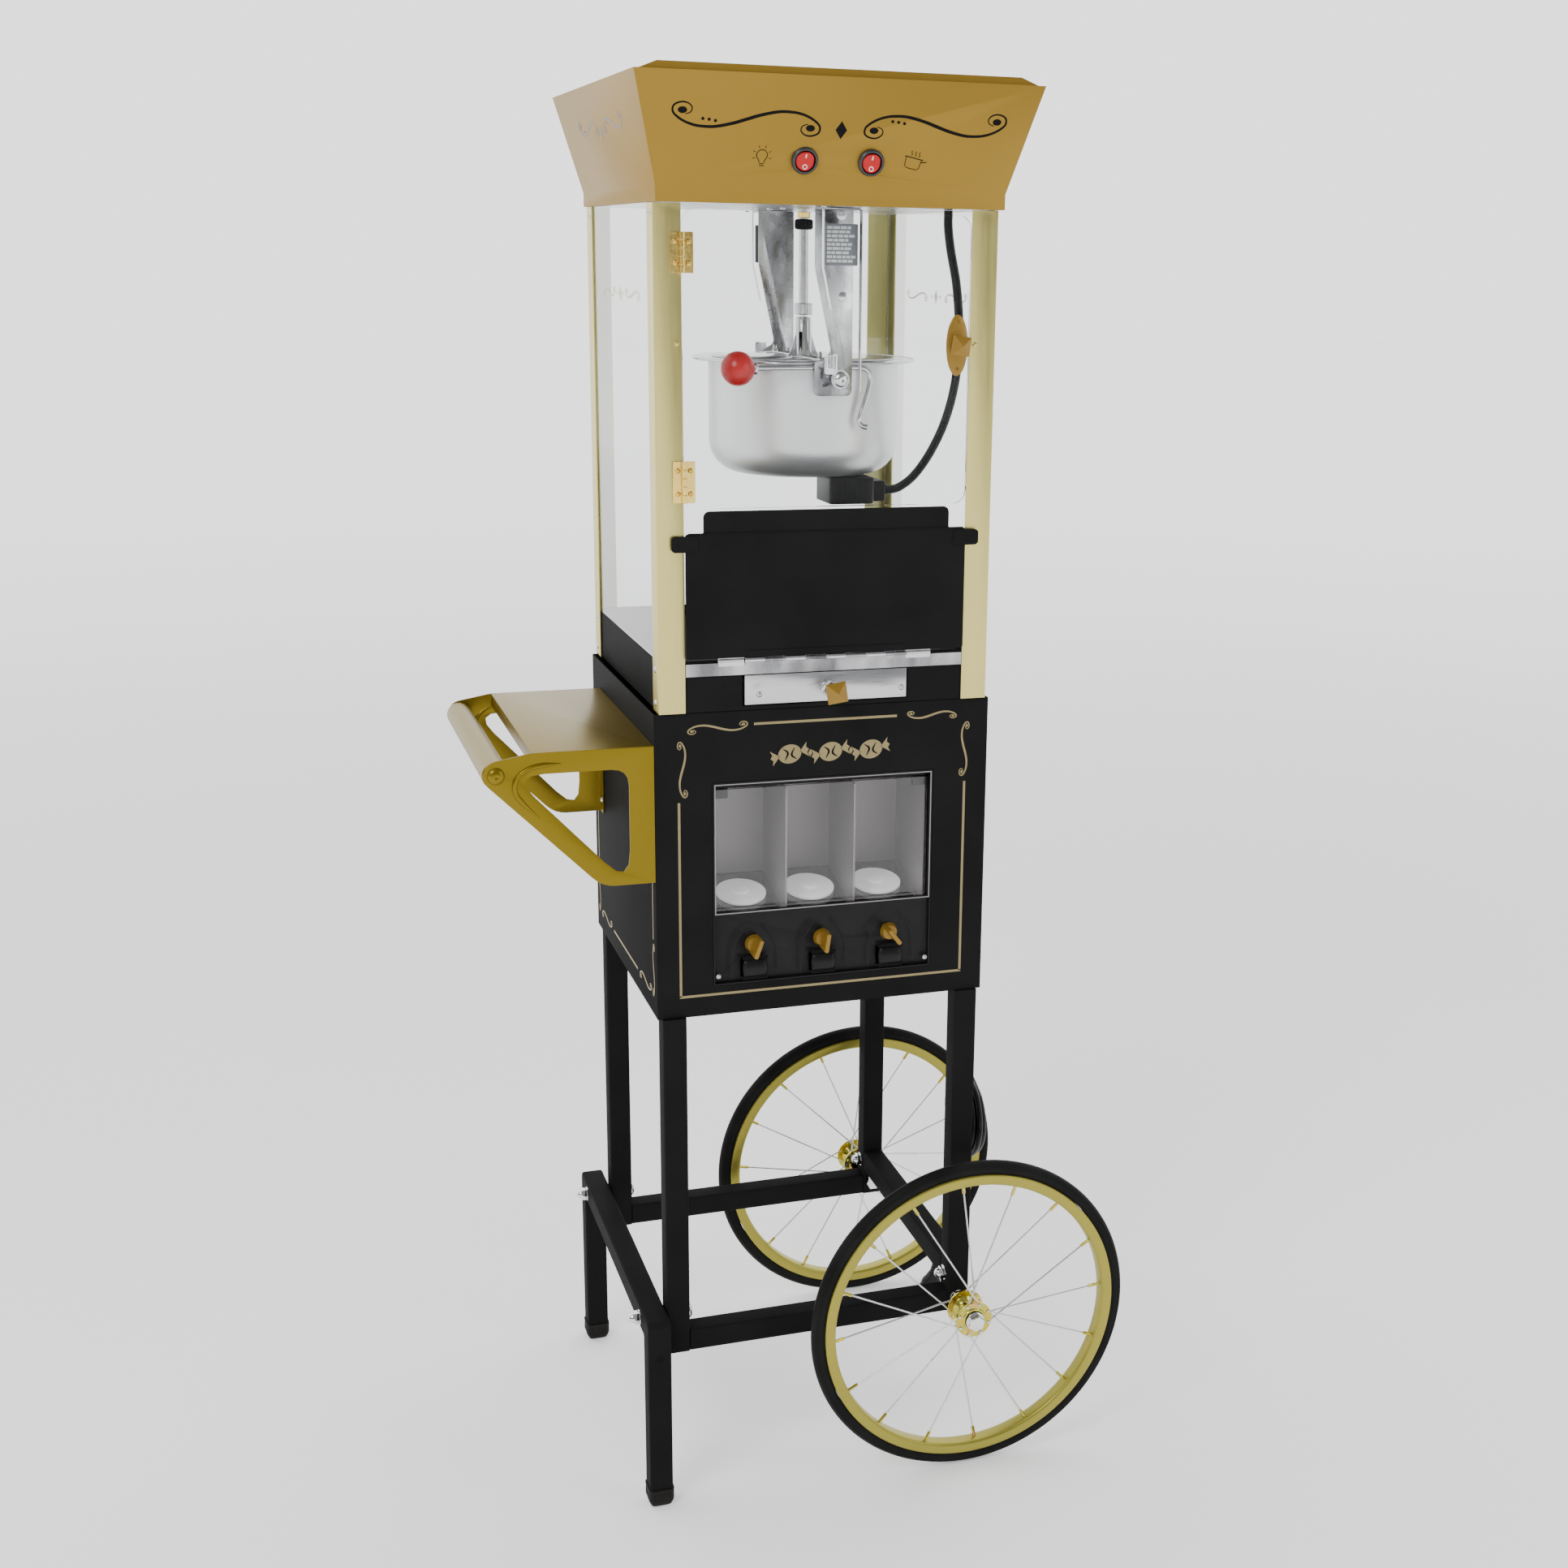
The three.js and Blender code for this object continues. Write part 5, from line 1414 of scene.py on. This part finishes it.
def shaft():
    stand = shifted(KETTLE_X, 0, 0)
    bm = bmesh.new()
    add_turned(bm, [(0, 1269.6), (4.4, 1269.6), (5, 1270.4), (5, CEILING_Z + 12), (0, CEILING_Z + 12)],
               stand, 32)
    add_turned(bm, [(0, 1270.2), (9.2, 1270.2), (9.8, 1270.9), (9.8, 1281.4), (9.2, 1282), (0, 1282)],
               stand, 40)
    add_turned(bm, [(0, 0), (2.3, 0), (2.3, 2.2), (1.6, 2.2), (1.4, 1.2), (0, 1.2)],
               facing("front", KETTLE_X, -9, 1276), 6)
    shell_of("shaft_bar", bm, STEEL, ["drive_shaft"], body="shaft")
    bm = bmesh.new()
    add_turned(bm, [(0, 1357), (8, 1357), (9, 1358), (9, 1366.6), (8, 1367.6), (0, 1367.6)], stand, 40)
    for i in range(20):
        rib = stand @ Matrix.Rotation(2 * math.pi * i / 20, 4, "Z")
        add_box(bm, 8.4, 9.6, -0.55, 0.55, 1358.2, 1366.4, rib)
    shell_of("shaft_knob", bm, PLASTIC, body="shaft")
    bm = bmesh.new()
    add_turned(bm, [(0, 1368.6), (6.6, 1368.6), (7, 1369.2), (7, 1375.2), (0, 1375.8)], stand, 6)
    shell_of("shaft_nut", bm, BRASS, body="shaft", bevel=0.3)


def agitator():
    softened("agitator", STEEL, 0.4, body="stirrer")


# ---------- kettle ----------
POT_RADIUS = 101


def kettle():
    kettle_pot()
    kettle_deck()
    kettle_lids()
    hangers()
    heater()
    dump_handle()


def kettle_pot():
    """Spun aluminium pot with a wide rounded foot and pivot pins through its wall."""
    low, high = box_of("kettle_pot")
    r, wall, bend, floor, top = POT_RADIUS, 2.4, 34, low.z, high.z
    stand = shifted(KETTLE_X, 0, 0)
    sweep = [math.radians(a) for a in range(0, 91, 9)]
    outer = [(0, floor)] + [(r - bend + bend * math.sin(a), floor + bend - bend * math.cos(a))
                            for a in sweep]
    lip = [(r, top - 1.2), (r - 0.6, top - 0.4), (r - wall + 0.6, top - 0.4), (r - wall, top - 1.2)]
    tight = bend - wall
    inner = [(r - bend + tight * math.sin(a), floor + bend - tight * math.cos(a)) for a in reversed(sweep)]
    bm = bmesh.new()
    add_turned(bm, outer + lip + inner + [(0, floor + wall)], stand, 128)
    shell_of("kettle_bowl", bm, ALUMINIUM, ["kettle_pot"], body="kettle", sharp=30)
    bm = bmesh.new()
    for side, y in (("front", -1), ("back", 1)):
        pin = facing(side, KETTLE_X, y * (r - 2), PIVOT_Z)
        add_turned(bm, [(0, 0), (4, 0), (4, 16), (0, 16)], pin, 24)
        add_turned(bm, [(0, 1.6), (11, 1.6), (11, 3.4), (9.5, 4.2), (0, 4.2)], pin, 36)
    shell_of("kettle_pins", bm, STEEL, body="kettle")


def kettle_deck():
    """Flat rim with a rolled edge, the gusseted bearing sleeve, and black patches that paint the shade in its
    slots.
    """
    softened("kettle_deck", STEEL, 0.5, body="kettle")
    stand = shifted(KETTLE_X, 0, 0)
    low, high = box_of("kettle_deck")
    deck = 1226
    bm = bmesh.new()
    bush = [(5.6, deck), (12.5, deck), (12.5, deck + 1.6), (8.8, deck + 3), (8.4, 1266.4), (7.6, 1267.6),
            (5.6, 1267.6)]
    add_hoop(bm, bush, stand, 48)
    for spin, reach in ((90, 30), (-90, 30), (0, 11), (180, 11)):
        gusset = [(8, deck + 0.2), (8 + reach * 0.9, deck + 0.2), (8 + reach * 0.55, deck + 7),
                  (8, deck + 26)]
        add_prism(bm, gusset, -0.7, 0.7, stand @ spun(spin, "Z") @ facing("front"))
    shell_of("deck_sleeve", bm, STEEL, body="kettle")
    # Painted shade: black patches stand in for the dark inside the sleeve's slots.
    bm = bmesh.new()
    for spin in (-35, 145):
        slot = stand @ spun(spin, "Z") @ facing("front", 0, -8.2, 0)
        add_prism(bm, filleted(panel(-1.8, 1.8, deck + 6, deck + 27, 1.7)), 0, 0.5, slot)
    shell_of("sleeve_slots", bm, INK_AND_SHADE, body="kettle")
    bm = bmesh.new()
    for y in (low.y, high.y):
        add_tube(bm, [(KETTLE_X - 54, y, deck - 1), (KETTLE_X + 54, y, deck - 1)], 1.5, 14)
    for sign in (-1, 1):
        arc = [math.radians(a) for a in range(-61, 62, 4)]
        line = [(KETTLE_X + sign * 117.6 * math.cos(a), 117.6 * math.sin(a), deck - 1) for a in arc]
        add_tube(bm, line, 1.5, 14)
    for y in (-88, 88):
        add_wing_nut(bm, shifted(KETTLE_X - 7, y, deck) @ spun(74, "Z"))
        add_turned(bm, [(0, 0), (5, 0), (5, 1), (0, 1)], shifted(KETTLE_X + 8, y, deck), 24)
        add_acorn_nut(bm, shifted(KETTLE_X + 8, y, deck), 6, 6)
    for x in (-9.2, 9.2):
        add_tube(bm, [(KETTLE_X + x, -84, deck + 1.6), (KETTLE_X + x, 84, deck + 1.6)], 1.3, 12)
    shell_of("deck_trim", bm, STEEL, body="kettle", sharp=50)


def add_wing_nut(bm, place):
    add_turned(bm, [(0, 0), (3.6, 0), (3.6, 1), (3, 4.4), (2, 5), (2, 8.6), (1.4, 9.2), (0, 9.2)], place,
               20)
    for side in (-1, 1):
        wing = [(side * 2.4, 1), (side * 6.8, 5), (side * 8, 9), (side * 6.4, 10), (side * 4, 7.6),
                (side * 2.2, 4.6)]
        add_prism(bm, wing[::side], -0.8, 0.8, place @ facing("front"))


def kettle_lids():
    """Two half-moon lids with hinge knuckles on the middle bar and a small lifting tab."""
    for side, sign in (("left", -1), ("right", 1)):
        softened("kettle_lid_" + side, STEEL, 0.4, 1, body="lid_" + side)
        low, high = box_of("kettle_lid_" + side)
        hinge_x = high.x if side == "left" else low.x
        bm = bmesh.new()
        for y in (-66, -34, 34, 66):
            leaf = (hinge_x, hinge_x + sign * 12)
            add_box(bm, min(leaf), max(leaf), y - 9, y + 9, high.z, high.z + 0.9)
            for x in (4, 9):
                add_turned(bm, [(0, 0.8), (1.8, 0.8), (1.6, 1.5), (0, 1.8)],
                           shifted(hinge_x + sign * x, y, high.z), 14)
        shell_of(f"lid_leaves_{side}", bm, STEEL, body="lid_" + side)


HANGER_TOP, HANGER_SHOULDER, HANGER_WAIST, HANGER_FOOT = 1376, 1320, 1280, 1199
LABEL = (1322, 1362)


def hangers():
    """Galvanised straps with bright folded edges, rivets, pivot bolt, latch and a plain label."""
    for end in ("front", "back"):
        low, high = box_of("hanger_" + end)
        face_y = low.y if end == "front" else high.y
        softened("hanger_" + end, SMEARED, 0.3, 1)
        strap = facing(end, 0, face_y, 0)
        mirror = 1 if end == "front" else -1
        hanger_edges(end, strap, mirror, low.x, high.x)
        hanger_hardware(end, strap, mirror)
        hanger_label(end, strap, mirror)


def hanger_edges(end, strap, mirror, left, right):
    """Folded edges: one along the straight side, one down the sloping side to the waist."""
    bm = bmesh.new()
    deep, sheet = 6.4, 1.1
    straight = [(mirror * (right - sheet), HANGER_FOOT), (mirror * right, HANGER_FOOT),
                (mirror * right, HANGER_TOP),
                (mirror * (right - sheet), HANGER_TOP)]
    waist = left + 18 * (HANGER_SHOULDER - HANGER_WAIST) / (HANGER_SHOULDER - 1236)
    sloping = [(mirror * left, HANGER_TOP), (mirror * left, HANGER_SHOULDER),
               (mirror * waist, HANGER_WAIST),
               (mirror * (waist + sheet), HANGER_WAIST), (mirror * (left + sheet), HANGER_SHOULDER),
               (mirror * (left + sheet), HANGER_TOP)]
    add_prism(bm, straight, -0.2, deep, strap)
    add_prism(bm, sloping, -0.2, deep, strap)
    shell_of(end + "_hanger_edges", bm, CHROME, bevel=0.3, segments=1)


def hanger_hardware(end, strap, mirror):
    bm = bmesh.new()
    for x, z in ((0, 1370), (2, 1292)):
        rivet = strap @ shifted(mirror * (KETTLE_X + x), z, 0)
        add_turned(bm, [(0, -0.2), (4.8, -0.2), (4.6, 0.5), (3, 0.9), (0, 1)], rivet, 30)
    pivot = strap @ shifted(mirror * KETTLE_X, PIVOT_Z, 0)
    add_turned(bm, [(0, 0), (9.4, 0), (9.4, 1.3), (0, 1.3)], pivot, 40)
    add_turned(bm, [(0, 1.3), (7.4, 1.3), (7.9, 2.2), (7.6, 4.6), (6, 6.6), (2.6, 7.6), (1.4, 7.1),
                    (0, 6.9)], pivot, 40)
    shell_of(end + "_hanger_rivets", bm, STEEL)
    bm = bmesh.new()
    latch = filleted(panel(-17, -4, 1216, 1235, 2.4), 4)
    add_plate(bm, [(mirror * (KETTLE_X + x), z) for x, z in latch], [], 1.6, 0.3,
              strap @ shifted(0, 0, 2.2))
    for x in (-15.4, -5.6):
        ear = strap @ shifted(mirror * (KETTLE_X + x), 0, 0)
        add_box(bm, -0.8, 0.8, 1218, 1236, 0.4, 5.6, ear)
    coil = []
    for i in range(6 * 14 + 1):
        angle = 2 * math.pi * i / 14
        coil.append(strap @ Vector((mirror * (KETTLE_X - 10.5) + 3 * math.cos(angle), 1222 + i * 0.16,
                                    5 + 2.2 * math.sin(angle))))
    add_tube(bm, coil, 0.6, 8)
    shell_of(end + "_latch", bm, CHROME, sharp=45)


def hanger_label(end, strap, mirror):
    """A plain sticker patterned with short pale bars."""
    rng = random.Random(7)
    bm, bars = bmesh.new(), bmesh.new()
    left, right = KETTLE_X - 17, KETTLE_X + 17
    ends = sorted((mirror * left, mirror * right))
    add_prism(bm, filleted(panel(*ends, *LABEL, 1), 2), 0.05, 0.2, strap)
    rows = 9
    for row in range(rows):
        z = LABEL[0] + 3 + row * (LABEL[1] - LABEL[0] - 4) / rows
        x = left + 2
        limit = right - 2 - rng.uniform(0, 9)
        while x < limit - 2:
            width = min(rng.uniform(3, 7.5), limit - x)
            sides = sorted((mirror * x, mirror * (x + width)))
            add_prism(bars, panel_points(*sides, z, z + 2.6), 0.15, 0.32, strap)
            x += width + 0.9
    shell_of(end + "_label", bm, GREY_INK)
    shell_of(end + "_label_bars", bars, PALE_PRINT)


def heater():
    """Moulded housing under the pot with a socket collar, ribs and the lead's plug."""
    softened("heater_box", PLASTIC, 1.2, body="kettle")
    bm = bmesh.new()
    corner = 82
    add_box(bm, corner - 1, corner + 12, -66, -34, 1079.5, 1101)
    add_box(bm, corner + 11, corner + 15, -59, -41, 1082, 1098)
    for i in range(4):
        add_box(bm, 37 + i * 11, 38.4 + i * 11, -77.2, -75.4, 1081, 1103)
    shell_of("heater_socket", bm, PLASTIC, body="kettle", bevel=1.2, segments=2)
    bm = bmesh.new()
    relief = []
    for i in range(4):
        r, z = 6.6 - i * 0.3, i * 3
        relief += [(r, z), (r, z + 1.8), (r - 1, z + 2.1), (r - 1, z + 2.7)]
    add_turned(bm, [(0, 0), *relief, (0, 11.8)], facing("right", corner + 8.4, -50, 1090), 28)
    shell_of("heater_plug_relief", bm, JACKET, body="kettle")


def dump_handle():
    """Red ball on a bent steel rod."""
    ball_centre, ball = Vector((-76, -105.3, 1220)), 17.3
    bm = bmesh.new()
    arc = [math.radians(a) for a in range(-90, 91, 6)]
    points = [(ball * math.cos(a), ball * math.sin(a)) for a in arc]
    points[0], points[-1] = (0, -ball), (0, ball)
    add_turned(bm, points, Matrix.Translation(ball_centre) @ facing("right"), 56)
    shell_of("dump_ball", bm, RED, ["dump_handle"], body="kettle", sharp=60)
    bm = bmesh.new()
    y = ball_centre.y
    rod = [(-60, y, 1220.4), (-30, y, 1220.8), (20, y, 1221), (50, y, 1221), (60, y, 1218.6), (64, y, 1211),
           (62, y, 1198),
           (57, y, 1182), (53, y, 1171), (53, y, 1166), (56, y - 1.5, 1162), (60.5, y - 3, 1161)]
    add_tube(bm, smooth(rod, 8), 2.8, 18)
    add_turned(bm, [(0, 0), (5.6, 0), (6.4, 1), (6.4, 3.2), (5, 4.4), (0, 4.4)],
               facing("left", ball_centre.x + ball + 2.6, y, ball_centre.z), 28)
    shell_of("dump_rod", bm, STEEL, body="kettle", sharp=50)


# ---------- floor and the whole cart ----------
def floor_paper():
    """White paper, lit from within enough to melt into the surroundings."""
    material, tree, shader = new_material("floor_paper")
    tree.links.new(ramp_of(tree, noise(tree, 0.8), [(0.3, (0.93,) * 3), (0.7, (0.95,) * 3)]),
                   shader.inputs["Base Color"])
    shader.inputs["Roughness"].default_value = 0.9
    shader.inputs["Specular IOR Level"].default_value = 0.1
    shader.inputs["Emission Color"].default_value = (1, 1, 1, 1)
    place = tree.nodes.new("ShaderNodeTexCoord")
    reach = tree.nodes.new("ShaderNodeVectorMath")
    reach.operation = "LENGTH"
    tree.links.new(place.outputs["Object"], reach.inputs[0])
    fade = tree.nodes.new("ShaderNodeMapRange")
    fade.inputs["From Min"].default_value = 1.2
    fade.inputs["From Max"].default_value = 9
    fade.inputs["To Min"].default_value = 0.35
    fade.inputs["To Max"].default_value = 0.95
    fade.interpolation_type = "SMOOTHSTEP"
    tree.links.new(reach.outputs["Value"], fade.inputs["Value"])
    tree.links.new(fade.outputs["Result"], shader.inputs["Emission Strength"])
    return material


def floor():
    size = 30
    mesh = bpy.data.meshes.new("floor")
    points = [(-size, -size, 0), (size, -size, 0), (size, size, 0), (-size, size, 0)]
    mesh.from_pydata(points, [], [(0, 1, 2, 3)])
    ground = bpy.data.objects.new("floor", mesh)
    bpy.context.scene.collection.objects.link(ground)
    mesh.materials.append(floor_paper())


camera()
mains_cord()
kettle_lead()
studio()
floor()
stand()
for wheel_end in ("front", "back"):
    wheel(wheel_end)
cabinet()
dispenser()
shelf()
push_handle()
machine_base()
glass_panes()
canopy()
door()
hatch()
tray()
ceiling()
shaft()
agitator()
kettle()
